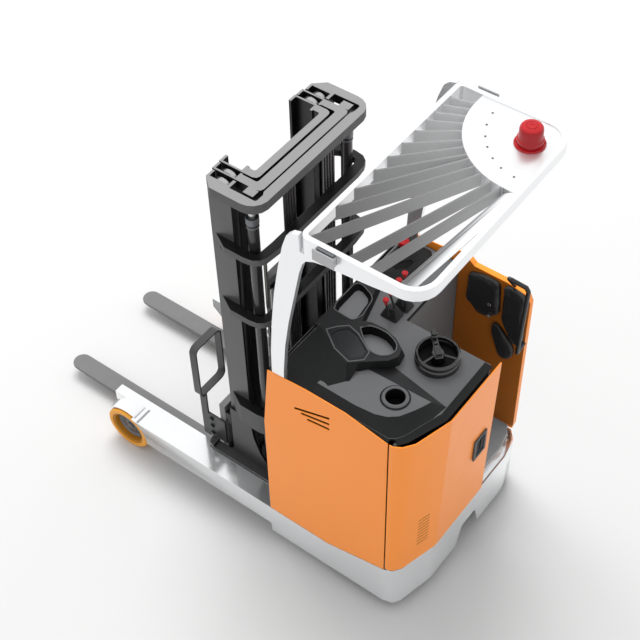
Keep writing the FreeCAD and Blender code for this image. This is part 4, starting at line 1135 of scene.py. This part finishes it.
@dataclass
class Controls(Maker):
    """Steering wheel, levers, boots and stop button."""

    centre: Plan = (-924.0, 35.0)
    spinner: float = -45.0

    def steering(self) -> None:
        """Builds the bowl, the glossy wheel and its spinner."""
        x, y = self.centre
        middle = (x, y, 0.0)
        bowl = Shape()
        bowl.lathe([(0.5, 1289.0), (96.0, 1286.0), (97.0, 1300.0), (94.0, 1312.0), (90.0, 1316.0),
                    (86.0, 1314.0), (82.0, 1300.0), (30.0, 1293.0), (26.0, 1318.0), (8.0, 1319.5),
                    (8.0, 1333.0), (0.5, 1333.0)], middle, "Z", 64)
        made = bowl.mesh("steering_bowl", 50.0)
        for polygon in made.polygons:
            away = math.hypot(polygon.center.x * 1000.0 - x, polygon.center.y * 1000.0 - y)
            polygon.material_index = int(away < 86.0)
        add_piece("steering_bowl", made, body_of("steering_column"),
                  self.paints("gloss_plastic", "deep_plastic"), ["steering_column"])
        wheel = Shape()
        wheel.lathe([(84.0, 1321.0), (92.0, 1321.0), (95.0, 1326.0), (95.0, 1333.0), (93.0, 1339.0),
                     (90.0, 1343.5), (87.0, 1345.5), (83.5, 1345.5), (80.5, 1342.5), (79.0, 1338.0),
                     (78.0, 1330.0), (80.0, 1324.0), (84.0, 1321.0)], middle, "Z", 72)
        wheel.lathe([(8.4, 1320.6), (30.0, 1320.6), (30.0, 1332.0), (24.0, 1342.0), (0.5, 1343.0),
                     (0.5, 1334.0), (8.4, 1334.0), (8.4, 1320.6)], middle, "Z", 40)
        for bearing in (75.0, 195.0):
            wheel.tube([(*polar(x, y, 14.0, bearing), 1332.0),
                        (*polar(x, y, 82.0, bearing), 1332.0)], 6.5, 12)
        turn = math.radians(self.spinner)
        side = Vector((-math.sin(turn), math.cos(turn)))
        way = Vector((math.cos(turn), math.sin(turn)))
        for near, far, low, high, wide in [
                (-34, 30, 1334, 1341, 17), (-20, 22, 1340, 1352, 13), (20, 92, 1335, 1344, 13),
                (40, 84, 1343, 1350, 9)]:
            corners = [way * near - side * wide, way * far - side * wide,
                       way * far + side * wide, way * near + side * wide]
            wheel.prism([(x + corner.x, y + corner.y) for corner in corners], low, high)
        wheel.lathe([(0.5, 1344.0), (12.0, 1344.0), (12.0, 1350.0), (8.0, 1354.0), (8.0, 1359.0),
                     (13.0, 1361.0), (15.0, 1365.0), (15.0, 1372.0), (11.0, 1377.0), (8.0, 1378.0),
                     (7.0, 1376.0), (0.5, 1376.0)],
                    (*polar(x, y, 83.0, self.spinner), 0.0), "Z", 32)
        self.add("steering_wheel_rim", wheel, "steering_wheel", "gloss_plastic", width=0.0012,
                 degrees=40.0, replaces=True)

    def levers(self) -> None:
        """Builds the ribbed boots and the leaning levers with their red knobs."""
        skin = Shape()
        for x, y, wide, deep in [(-631.0, -62.0, 42.0, 34.0), (-642.0, -132.0, 38.0, 32.0)]:
            for level in range(6):
                low = 1286.0 + level * 9.0
                across, along = wide - level * 3.5, deep - level * 3.5
                outer = soft_box(x - across, x + across, y - along, y + along, 10.0, 3)
                inner = soft_box(x - across + 9, x + across - 9, y - along + 9, y + along - 9,
                                 3.0, 3)
                skin.loft([(inner, low), (outer, low + 3.0), (outer, low + 6.0),
                           (inner, low + 9.0)])
        self.add("lever_boots", skin, "console", "boot_rubber", width=0.001, degrees=30.0)
        knobs = Shape()
        for foot, top in [
                ((-641.0, -24.0), (-629.0, -15.0, 1432.0)),
                ((-648.0, -62.0), (-620.0, -58.0, 1444.0)),
                ((-656.0, -104.0), (-620.0, -123.0, 1452.0)),
                ((-654.0, -136.0), (-618.0, -170.0, 1452.0))]:
            knobs.ink(1).tube([(*foot, 1322.0), (top[0], top[1], top[2] - 26.0)], 5.0, 10)
            knobs.ink(0).lathe([(0.5, -34.0), (6.5, -34.0), (8.5, -22.0), (13.0, -12.0),
                                (14.0, -5.0), (11.0, -1.0), (0.5, 0.0)], top, "Z", 28)
        self.add("lever_knobs", knobs, "control_levers", "red_plastic", "black_plastic",
                 degrees=40.0, replaces=True)

    def stop_button(self) -> None:
        """Builds the mushroom stop button."""
        button = Shape()
        for index, profile in [
                (1, [(0.5, 1287.0), (28.0, 1287.0), (28.0, 1298.0), (24.0, 1304.0), (14.0, 1304.0),
                     (14.0, 1314.0), (0.5, 1314.0)]),
                (0, [(0.5, 1312.0), (24.0, 1312.0), (27.0, 1318.0), (27.0, 1331.0), (24.0, 1337.0),
                     (17.0, 1340.0), (0.5, 1340.0)])]:
            button.ink(index).lathe(profile, (-450.0, -415.0, 0.0), "Z", 40)
        self.add("stop_button", button, "emergency_button", "red_plastic", "deep_plastic",
                 degrees=40.0, replaces=True)

    def build(self) -> None:
        """Builds all controls."""
        self.steering()
        self.levers()
        self.stop_button()


# Operator's cushions


@dataclass
class Pads(Maker):
    """Cushions on the compartment's wall, filled by a cloth simulation."""

    wall: float = -469.0
    most: float = 0.005
    voxel: float = 0.005
    pressure: float = 4.0
    frames: int = 20
    outlines: dict[str, list[Plan]] = field(default_factory=lambda: {
        "hip_pad": rounded_plan([(-757, 1125), (-764, 1300), (-845, 1322), (-924, 1318),
                                 (-938, 1130), (-890, 1078), (-826, 1070)], 26.0),
        "side_pad": rounded_plan([(-945, 1100), (-942, 1322), (-1022, 1326), (-1052, 1300),
                                  (-1066, 990), (-1010, 984)], 24.0),
        "knee_pad": rounded_plan([(-906, 1060), (-936, 1062), (-1028, 955), (-1030, 900),
                                  (-996, 856), (-955, 860), (-905, 990)], 30.0),
    })

    def shrunk(self, plan: list[Plan], amount: float) -> list[Plan]:
        """Draws a plan in towards its middle.

        Args:
            plan: the plan.
            amount: how far, in millimetres.

        Returns:
            The smaller plan.
        """
        middle_x = sum(x for x, _ in plan) / len(plan)
        middle_z = sum(z for _, z in plan) / len(plan)
        result = []
        for x, z in plan:
            way = Vector((x - middle_x, z - middle_z))
            way = way * (1.0 - amount / way.length)
            result.append((middle_x + way.x, middle_z + way.y))
        return result

    def filled(self, name: str, plan: list[Plan]) -> bpy.types.Mesh:
        """Remeshes one cushion and swells it with cloth pressure.

        Args:
            name: the cushion's name.
            plan: its outline in x and z.

        Returns:
            The cushion's mesh.
        """
        shape = Shape()
        levels = [(0.3, 3.0), (4.0, 2.0), (17.0, 2.0), (21.0, 5.0), (23.0, 10.0)]
        shape.skin([[mm(x, self.wall + depth, z) for x, z in self.shrunk(plan, inset)]
                    for depth, inset in levels])
        holder = linked(name + "_work", shape.mesh(name))
        fine = holder.modifiers.new("even", "REMESH")
        fine.mode = "VOXEL"
        fine.voxel_size = self.voxel
        mesh = evaluated(holder)
        holder.modifiers.clear()
        holder.data = mesh
        start = [point.co.copy() for point in mesh.vertices]
        held = holder.vertex_groups.new(name="held")
        back = (self.wall + 3.0) / 1000.0
        held.add([point.index for point in mesh.vertices if point.co.y < back], 1.0, "REPLACE")
        cloth = holder.modifiers.new("fill", "CLOTH")
        cloth.settings.use_pressure = True
        cloth.settings.uniform_pressure_force = self.pressure
        cloth.settings.vertex_group_mass = "held"
        cloth.settings.effector_weights.gravity = 0.0
        for step in range(1, self.frames + 1):
            bpy.context.scene.frame_set(step)
        swollen = evaluated(holder)
        for point, first in zip(swollen.vertices, start):
            move = point.co - first
            if move.length > self.most:
                move = move * (self.most / move.length)
            point.co = first + move
            point.co.y = max(point.co.y, self.wall / 1000.0 + 0.0002)
        mesh = swollen
        bpy.context.scene.frame_set(1)
        bpy.data.objects.remove(holder)
        smooth(mesh, 60.0)
        return mesh

    def build(self) -> None:
        """Builds the cushions and the bolts between them."""
        body = body_of("backrest_pads")
        for name, plan in self.outlines.items():
            mesh = self.filled(name, plan)
            mesh.materials.clear()
            piece = make_object(name, mesh, body, self.paint("pad_cover"))
            finer = piece.modifiers.new("finer", "SUBSURF")
            finer.levels = 1
            finer.render_levels = 1
            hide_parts("backrest_pads")
        self.repeat("pad_screws", screw_head(9.0, 4.0),
                    [((-888.0, -443.5, 1173.0), (0.0, 1.0, 0.0)),
                     ((-891.0, -443.5, 1100.0), (0.0, 1.0, 0.0))],
                    "backrest_pads", "roller_steel", 8)


# Overhead guard


@dataclass
class Guard(Maker):
    """The guard's paints, its last slat, its screws, beacon and work lamps."""

    rail: Point = (-1111.0, -631.0, 497.0)
    fan: Plan = (-1075.0, -453.0)
    plate: float = 351.0
    corner: Plan = (-1029.0, 415.0)
    sheet: Plan = (-1055.0, -120.0)
    top: float = 2231.0
    lamp: Plan = (-1016.0, -367.0)

    def frame_piece(self) -> None:
        """Rounds the guard's edges and paints its slats and its bent sheet grey, with painted
        reflection on the slats and painted shade on the sheet.
        """
        def slat(centre: Vector, normal: Vector) -> int:
            """Picks the grey of a slat's top or edge, the sheet's, or the frame's paint; the slat
            and sheet greys carry painted reflection and painted shade.
            """
            x, y, z = centre
            inside = abs(y) < self.rail[2] and self.rail[0] < x < self.rail[1]
            off_x, off_y = x - self.corner[0], abs(y) - self.corner[1]
            if off_x < 0.0 < off_y and math.hypot(off_x, off_y) > 80.0:
                return 0
            if y > self.sheet[1] and x < self.sheet[0] and inside:
                return 3
            away = math.hypot(x - self.fan[0], y - self.fan[1])
            if not inside or away < self.plate or z > self.top + 0.5:
                return 0
            return 2 if normal.z > 0.7 else 1

        self.soften("overhead_guard", "overhead_guard_frame", 0.0022, "guard_paint", "slat_grey",
                    "slat_edge", "sheet_grey", rule=slat)

    def rear_slat(self) -> None:
        """Adds the slat between the fan's last one and the bent sheet."""
        slat = Shape()
        slat.prism([(-1046.0, -103.0), (-892.0, 500.0), (-898.0, 501.0), (-1052.0, -102.0)],
                   2169.0, self.top)
        mesh = slat.mesh("rear_slat")
        for polygon in mesh.polygons:
            polygon.material_index = int(polygon.normal.z > 0.7)
        # The rear slat takes the slat greys with their painted reflection.
        add_piece("guard_rear_slat", mesh, body_of("overhead_guard"),
                  self.paints("slat_grey", "slat_edge"))

    def screws(self) -> None:
        """Adds the screws of the curved plate."""
        spots = [(-813.1, -433.5), (-830.2, -363.1), (-860.7, -304.3), (-898.3, -258.0),
                 (-947.2, -216.9), (-999.4, -189.8), (-1062.8, -176.2)]
        self.repeat("guard_screws", screw_head(4.5, 1.6),
                    [((x, y, self.top), UP) for x, y in spots], "overhead_guard", "hub_steel", 3)

    def beacon(self) -> None:
        """Builds the red warning lamp on its bolted flange."""
        lamp = Shape()
        lamp.lathe([(0.5, 2230.6), (60.0, 2230.6), (61.5, 2234.0), (59.0, 2239.0), (50.0, 2240.0),
                    (49.0, 2246.0), (52.0, 2249.0), (52.0, 2259.0), (49.0, 2263.0), (47.0, 2265.0),
                    (46.0, 2299.0), (44.5, 2308.0), (40.0, 2314.5), (33.0, 2317.5), (24.0, 2318.5),
                    (22.5, 2316.8), (20.0, 2316.8), (18.5, 2319.2), (9.0, 2319.6), (8.0, 2317.8),
                    (0.5, 2317.8)], (*self.lamp, 0.0), "Z", 64)
        self.add("beacon_lamp", lamp, "beacon", "red_plastic", degrees=30.0, replaces=True)
        places = [((*polar(*self.lamp, 56.0, turn), 2238.6), UP)
                  for turn in (-30.0, 30.0, 90.0, 150.0, 210.0, 270.0)]
        self.repeat("beacon_screws", screw_head(5.0, 2.5), places, "beacon", "red_plastic", 5)

    def lamps(self) -> None:
        """Builds the chrome work lamps on both rails."""
        for side, name in SIDES:
            near, far = 520.4 * side, 543.5 * side
            lamp = Shape()
            lamp.block(-774.0, -686.0, near, far - 3.0 * side, 2184.0, 2228.0)
            lamp.block(-777.5, -682.5, far, far - 8.0 * side, 2180.0, 2232.0)
            lamp.ink(1).block(-768.0, -692.0, near, near + 12 * side, 2229.0, 2235.0)
            lamp.ink(1).block(-730.0, -700.0, near, near + 16 * side, 2173.0, 2183.0)
            node = "work_lamp_" + name
            self.add(node + "_case", lamp, node, "lamp_chrome", "hub_steel", width=0.003,
                     replaces=True)

    def build(self) -> None:
        """Builds the guard's pieces."""
        self.frame_piece()
        self.rear_slat()
        self.screws()
        self.beacon()
        self.lamps()


# Mast and lifting parts


@dataclass
class Mast(Maker):
    """Mast stages with their paint and painted shade, rollers, chains and pipes."""

    top: float = 2019.0
    lane: float = 337.0
    collars: list[Plan] = field(default_factory=lambda: [(604, 737), (1358, 1391), (1733, 1766)])
    ram: Plan = (-215.0, 312.0)
    chain: Plan = (-251.0, 296.0)
    pipe_x: float = -245.0
    pipe_rows: list[list[float]] = field(default_factory=lambda: [
        [84.0, 100.0, 116.0, 132.0, 148.0], [-118.0, -136.0, -154.0, -172.0]])

    def stages(self) -> None:
        """Paints the faces that show, with painted shade in black on the inside of the mast, the
        collars' tops and the carriages' hidden faces.
        """
        def outer_face(centre: Vector, normal: Vector) -> int:
            """Picks the outer stage's painted, top, side or dark faces: the outward head and collar
            faces take a darker grey than the head tops, and the inner faces and collar tops take
            black, both as painted shade.
            """
            x, y, z = centre
            outward = normal.y * y > 0.25 * abs(y) or normal.x < -0.3
            if z > self.top:
                if normal.z > 0.5:
                    return 2
                return 3 if outward and (abs(y) > self.lane or x < -292.0) else 1
            if abs(y) > self.lane and x > -140.0 and abs(normal.y) > 0.9:
                return 0
            collar = any(low - 1 < z < high + 1 for low, high in self.collars)
            return 3 if collar and outward and abs(normal.z) < 0.5 else 1

        def top_face(centre: Vector, normal: Vector) -> int:
            """Picks a moving stage's head plate; its other faces take black painted shade."""
            return 0 if centre.z > self.top and normal.z > 0.5 else 1

        def carriage_face(centre: Vector, normal: Vector) -> int:
            """Picks the reach carriage's top and outer faces; the rest take black painted shade."""
            x, y, z = centre
            if 266.0 < z < 290.0 and normal.z > 0.8:
                return 0
            return 0 if abs(y) > 349.0 and z > 262.0 and abs(normal.y) > 0.9 else 1

        def bar_face(centre: Vector, normal: Vector) -> int:
            """Picks the fork bars' front faces; the rest take black painted shade."""
            return 0 if centre.x > 20.0 and normal.x > 0.9 else 1

        self.soften("mast_outer", "mast_outer_stage", 0.002, "mast_paint", "mast_black",
                    "mast_top", "mast_side", rule=outer_face)
        for node, name, finish, rule in [
                ("mast_middle", "mast_middle_stage", "mast_top", top_face),
                ("mast_inner", "mast_inner_stage", "mast_top", top_face),
                ("reach_carriage", "reach_carriage_body", "backrest_paint", carriage_face),
                ("fork_carriage", "fork_carriage_body", "backrest_paint", bar_face)]:
            self.soften(node, name, 0.002, finish, "mast_black", rule=rule)
        self.soften("load_backrest", "load_backrest_body", 0.002, "backrest_paint")
        for node in ("fork_left", "fork_right"):
            self.soften(node, node + "_body", 0.003, "fork_paint")

    def rollers(self) -> None:
        """Adds the bright guide rollers at the top of the moving stages."""
        for node, lane, front, depth in [("mast_middle", 338.0, -18.0, 115.0),
                                         ("mast_inner", 290.0, -9.0, 122.0)]:
            rolls = Shape()
            radius = depth / 2.0 - 14.0
            for side, _ in SIDES:
                place = (front - depth / 2.0, (lane - 26.0) * side, 2012.0)
                rolls.lathe([(10.0, -12.5), (radius - 3.0, -12.5), (radius, -9.5), (radius, 9.5),
                             (radius - 3.0, 12.5), (10.0, 12.5), (10.0, -12.5)], place, "Y", 48)
                rolls.lathe([(0.5, -14.5), (16.0, -14.5), (16.0, 13.5), (0.5, 13.5)], place, "Y",
                            24)
            self.add(node + "_top_rollers", rolls, node, "roller_steel")

    def cylinders(self) -> None:
        """Adds the gland nuts of the lift cylinders."""
        for side, name in SIDES:
            glands = Shape()
            for low, high, radius in [(1906.0, 1938.0, 28.0), (1884.0, 1892.0, 27.0),
                                      (270.0, 320.0, 28.0)]:
                glands.lathe([(25.2, low), (radius, low), (radius, high), (25.2, high),
                              (25.2, low)], (self.ram[0], self.ram[1] * side, 0.0), "Z", 36)
            node = "lift_cylinder_" + name
            self.add(node + "_glands", glands, node, "hub_steel", width=0.001)

    def chains(self) -> None:
        """Adds the lift chains behind the cylinders, link by link."""
        link = Shape()
        for y in (-5.2, 5.2):
            link.prism(soft_box(-5.0, 5.0, y - 1.2, y + 1.2, 1.0, 2), -9.0, 9.0)
        for z in (-5.0, 5.0):
            link.tube([(0.0, -7.0, z), (0.0, 7.0, z)], 2.4, 8)
        mesh = link.mesh("link")
        for side, name in SIDES:
            places = [((self.chain[0], self.chain[1] * side, start + step * 16.0), UP)
                      for start, count in ((1420.0, 20), (760.0, 37)) for step in range(count)]
            self.repeat("lift_chain_" + name, mesh.copy(), places, "mast_outer", "chain_steel",
                        spin=0.0)

    def pipes(self) -> None:
        """Adds the stiff oil pipes that run up the outer stage between its collars."""
        rig = Shape()
        for row in self.pipe_rows:
            for y in row:
                rig.tube([(self.pipe_x, y, 640.0), (self.pipe_x, y, 2012.0)], 6.0, 12)
        for low, high in ((1362.0, 1387.0), (1737.0, 1762.0), (1980.0, 2004.0)):
            for row in self.pipe_rows:
                rig.block(self.pipe_x - 11.0, self.pipe_x - 5.0, min(row) - 8.0, max(row) + 8.0,
                          low, high)
        self.add("mast_pipes", rig, "mast_outer", "cylinder_black", degrees=40.0)

    def bolts(self) -> None:
        """Adds the bolts of the load backrest and of the carriage."""
        places = [((x, 340.0 * side, z), (0.0, side, 0.0)) for side, _ in SIDES
                  for x, z in [(120.0, 290.0), (120.0, 345.0), (120.0, 400.0), (160.0, 560.0)]]
        self.repeat("backrest_bolts", hex_head(11.0, 10.0), places, "load_backrest",
                    "black_plastic", 2)
        places = [((x, 338.0 * side, z), (0.0, side, 0.0)) for side, _ in SIDES
                  for x, z in [(-58.0, 670.0), (-100.0, 670.0), (-60.0, 1690.0)]]
        self.repeat("mast_bolts", hex_head(8.0, 6.0), places, "mast_outer", "mast_paint", 4)

    def build(self) -> None:
        """Builds the mast's pieces."""
        self.stages()
        self.rollers()
        self.cylinders()
        self.chains()
        self.pipes()
        self.bolts()


# Wheels


@dataclass
class Wheels(Maker):
    """Tyres with chamfered treads and bolted hubs."""

    axle: Plan = (574.0, 125.7)
    track: float = 452.0

    def turned(self, shape: Shape, side: float, profile: list[Plan], steps: int) -> None:
        """Adds a solid turned about a load wheel's axle."""
        shape.lathe([(radius, height * side) for radius, height in profile],
                    (self.axle[0], self.track * side, self.axle[1]), "Y", steps)

    def load_wheels(self) -> None:
        """Builds the load wheels that show in the legs."""
        for side, name in SIDES:
            tyre, hub = Shape(), Shape()
            self.turned(tyre, side, [
                (100.0, -41.0), (119.0, -41.0), (125.7, -35.0), (125.7, 35.0), (119.0, 41.0),
                (100.0, 41.0), (99.0, 40.0), (99.0, -40.0), (100.0, -41.0)], 96)
            self.turned(tyre.ink(1), side, [
                (84.05, -40.0), (99.2, -40.0), (99.2, 36.0), (88.0, 33.0), (84.05, 14.0),
                (84.05, -40.0)], 96)
            node = "load_tyre_" + name
            self.add(node + "_tread", tyre, node, "wheel_orange", "wheel_ochre", width=0.0012,
                     degrees=25.0, replaces=True)
            self.turned(hub, side, [
                (15.05, -40.9), (84.0, -40.9), (84.0, 10.0), (78.0, 12.0), (66.0, 6.0),
                (58.0, 5.0), (55.0, 9.0), (34.0, 11.0), (32.0, 13.9), (15.05, 13.9),
                (15.05, -40.9)], 72)
            node = "load_hub_" + name
            self.add(node + "_disc", hub, node, "hub_steel", width=0.001, degrees=25.0,
                     replaces=True)
            spots = [polar(*self.axle, 44.0, turn) for turn in range(18, 378, 72)]
            places = [((x, self.track * side + 9.6 * side, z), (0.0, side, 0.0)) for x, z in spots]
            self.repeat(node + "_bolts", hex_head(7.0, 4.0), places, node, "chain_steel", 11)

    def caps(self) -> None:
        """Adds the caps of the load axles, and the dark grey bands beside the wheel hoods that
        paint the shade of the grooves there.
        """
        for side, name in SIDES:
            cap, groove_shade = Shape(), Shape()
            self.turned(cap, side, [(0.5, 14.2), (21.0, 14.2), (21.0, 18.0), (17.0, 21.0),
                                    (0.5, 22.0)], 40)
            self.add("load_axle_cap_" + name, cap, "leg_" + name, "mast_paint")
            # A thin dark grey band over the leg stands for the shade in the groove between hood and
            # leg: painted shade.
            groove_shade.block(480.0, 492.0, 402.0 * side, 497.0 * side, 249.0, 250.5)
            self.add("leg_strip_" + name, groove_shade, "leg_" + name, "mast_top")

    def build(self) -> None:
        """Builds the wheels."""
        self.load_wheels()
        self.caps()


# Studio


@dataclass
class Studio:
    """Camera, floor and lights."""

    eye: Point = (-2.6763039, 3.0804418, 5.5822214)
    yaw: float = -0.9119930506
    pitch: float = -0.8570599384
    roll: float = -0.0274128261
    focal_px: float = 1341.21208
    frame_px: float = 640.0
    floor: float = 0.578
    sky: float = 0.98
    sky_light: float = 0.9

    def camera(self) -> None:
        """Places the camera at the photograph's viewpoint."""
        data = bpy.data.cameras.new("camera")
        data.sensor_width = 36.0
        data.sensor_fit = "HORIZONTAL"
        data.lens = self.focal_px * data.sensor_width / self.frame_px
        data.clip_end = 100.0
        forward = Vector((math.cos(self.pitch) * math.cos(self.yaw),
                          math.cos(self.pitch) * math.sin(self.yaw), math.sin(self.pitch)))
        right = Vector((math.sin(self.yaw), -math.cos(self.yaw), 0.0))
        up = right.cross(forward)
        tilted_right = right * math.cos(self.roll) + up * math.sin(self.roll)
        tilted_up = up * math.cos(self.roll) - right * math.sin(self.roll)
        turn = Matrix((tilted_right, tilted_up, -forward)).transposed().to_4x4()
        camera = linked("camera", data)
        camera.matrix_world = Matrix.Translation(self.eye) @ turn
        bpy.context.scene.camera = camera

    def ground(self) -> None:
        """Makes the pale floor."""
        mesh = bpy.data.meshes.new("floor")
        mesh.from_pydata([(-40, -40, 0), (40, -40, 0), (40, 40, 0), (-40, 40, 0)], [],
                         [(0, 1, 2, 3)])
        material = bpy.data.materials.new("floor")
        material.use_nodes = True
        shader = material.node_tree.nodes["Principled BSDF"]
        shader.inputs["Base Color"].default_value = (self.floor, self.floor, self.floor, 1.0)
        shader.inputs["Roughness"].default_value = 0.6
        shader.inputs["Specular IOR Level"].default_value = 0.2
        mesh.materials.append(material)
        linked("floor", mesh)

    def world(self) -> None:
        """Makes an even white surround, a little dimmer as a light than as a backdrop."""
        world = bpy.data.worlds.new("surround")
        bpy.context.scene.world = world
        world.use_nodes = True
        nodes, links = world.node_tree.nodes, world.node_tree.links
        shade = nodes["Background"]
        shade.inputs["Color"].default_value = (1.0, 1.0, 1.0, 1.0)
        ray = nodes.new("ShaderNodeLightPath")
        blend = nodes.new("ShaderNodeMapRange")
        blend.inputs["To Min"].default_value = self.sky
        blend.inputs["To Max"].default_value = self.sky_light
        links.new(ray.outputs["Is Diffuse Ray"], blend.inputs["Value"])
        links.new(blend.outputs["Result"], shade.inputs["Strength"])

    def lamps(self) -> None:
        """Hangs one broad soft lamp high on the far side and a weak one lower in front."""
        for name, place, aim, size, power in [
                ("lamp_top", (5.6, -6.0, 17.0), (-0.1, 0.0, 0.6), 11.0, 3150.0),
                ("lamp_low", (12.0, -3.0, 8.0), (0.0, 0.0, 0.6), 8.0, 380.0)]:
            data = bpy.data.lights.new(name, "AREA")
            data.shape = "SQUARE"
            data.size = size
            data.energy = power
            lamp = linked(name, data)
            lamp.visible_glossy = False
            way = Vector(aim) - Vector(place)
            lamp.matrix_world = (Matrix.Translation(place)
                                 @ way.to_track_quat("-Z", "Y").to_matrix().to_4x4())

    def build(self) -> None:
        """Builds the whole studio."""
        bpy.context.scene.view_settings.view_transform = "Standard"
        self.camera()
        self.ground()
        self.world()
        self.lamps()


@dataclass
class PlainNodes(Maker):
    """CAD nodes that keep their shape or only get rounded edges."""

    facet: tuple[Plan, Plan] = ((-1066.0, 452.0), (-1120.0, 266.0))
    wall_z: Plan = (342.0, 1278.0)
    lean: float = 17.6
    rounded: dict[str, tuple[str, float]] = field(default_factory=lambda: {
        "base_frame": ("light_paint", 0.003),
        "leg_left": ("light_paint", 0.004),
        "leg_right": ("light_paint", 0.004),
        "side_panel_left": ("orange_paint", 0.0028),
        "rear_door": ("orange_paint", 0.0029),
        "platform": ("mat_grey", 0.003),
        "front_bulkhead": ("dark_paint", 0.0015),
        "battery": ("battery_paint", 0.004),
    })
    kept: dict[str, list[str]] = field(default_factory=lambda: {
        "liner_grey": ["compartment_liner"],
        "dark_paint": ["door_pivot_top", "castor_fork", "drive_gearbox", "drive_motor"],
        "black_plastic": ["grab_handle"],
        "cylinder_black": ["lift_cylinder_left", "lift_cylinder_right", "free_lift_cylinder",
                           "reach_barrel"],
        "mast_black": ["free_lift_rod"],
        "bright_steel": ["reach_rod", "lift_rod_left", "lift_rod_right"],
        "hub_steel": ["reach_rollers", "drive_hub"],
        "black_rubber": ["drive_tyre", "castor_wheel_left", "castor_wheel_right"],
    })

    def vents(self) -> None:
        """Adds the slanted vent slots on the door's corner facet as thin dark plates: painted shade
        standing for the cut slots.
        """
        low, high = Vector(self.facet[0]), Vector(self.facet[1])
        along = (high - low).normalized()
        slot = Shape()
        slot.prism([(along.x * a + along.y * b, along.y * a - along.x * b)
                    for a, b in soft_box(-32.0, 32.0, -3.2, 3.2, 3.0, 3)], -0.4, 0.5)
        out = Vector((along.y, -along.x, 0.0))
        spot = low.lerp(high, 0.54)
        places = []
        for step in range(9):
            z = 470.0 + step * 24.0
            shift = (z - self.wall_z[0]) / (self.wall_z[1] - self.wall_z[0]) * self.lean
            places.append(((spot.x - shift, spot.y, z), tuple(out)))
        # The dark ochre plates paint the shade inside the slots.
        self.repeat("door_vents", slot.mesh("slot"), places, "rear_door", "wheel_ochre", spin=0.0)

    def build(self) -> None:
        """Rounds the large painted nodes and dresses the others."""
        self.vents()
        for node, (finish, width) in self.rounded.items():
            self.soften(node, node + "_body", width, finish)
        for finish, nodes in self.kept.items():
            for node in nodes:
                dress(node, self.paint(finish))

        def wall_face(centre: Vector, normal: Vector) -> int:
            """Picks the wall's inner face, which lies in shade."""
            return int(normal.y > 0.8 and centre.y > -472.0)

        def lined(centre: Vector, normal: Vector) -> int:
            """Picks the left pillar's dark inner face."""
            return int(normal.y < -0.8)

        self.soften("side_wall_right", "side_wall_right_body", 0.003, "orange_paint",
                    "orange_shade", rule=wall_face)
        for name, rule in (("left", lined), ("right", None)):
            self.soften("guard_pillar_" + name, "guard_pillar_" + name + "_body", 0.004,
                        "guard_paint", "deep_plastic", rule=rule)
        self.latch()

    def latch(self) -> None:
        """Builds the door latch's frame, its dark pocket and its handle."""
        latch = Shape()
        for y0, y1, z0, z1 in [(-65.0, -50.0, 738.0, 878.0), (16.0, 31.0, 738.0, 878.0),
                               (-50.0, 16.0, 738.0, 752.0), (-50.0, 16.0, 864.0, 878.0)]:
            latch.block(-1141.5, -1133.0, y0, y1, z0, z1)
        latch.ink(1).block(-1136.5, -1133.0, -50.5, 16.5, 751.5, 864.5)
        latch.ink(1).block(-1139.5, -1134.0, -44.0, -20.0, 775.0, 850.0)
        self.add("door_latch_frame", latch, "door_latch", "mast_side", "deep_plastic",
                 width=0.0012, replaces=True)


def main() -> None:
    """Builds the studio and every sub-assembly in order."""
    logging.basicConfig(level=logging.INFO, format="%(message)s")
    palette = Palette()
    Studio().build()
    repeater = Repeater()
    for assembly in (PlainNodes, Console, Controls, Pads, Guard, Mast, Wheels):
        assembly(palette, repeater).build()


if __name__ == "__main__":
    main()
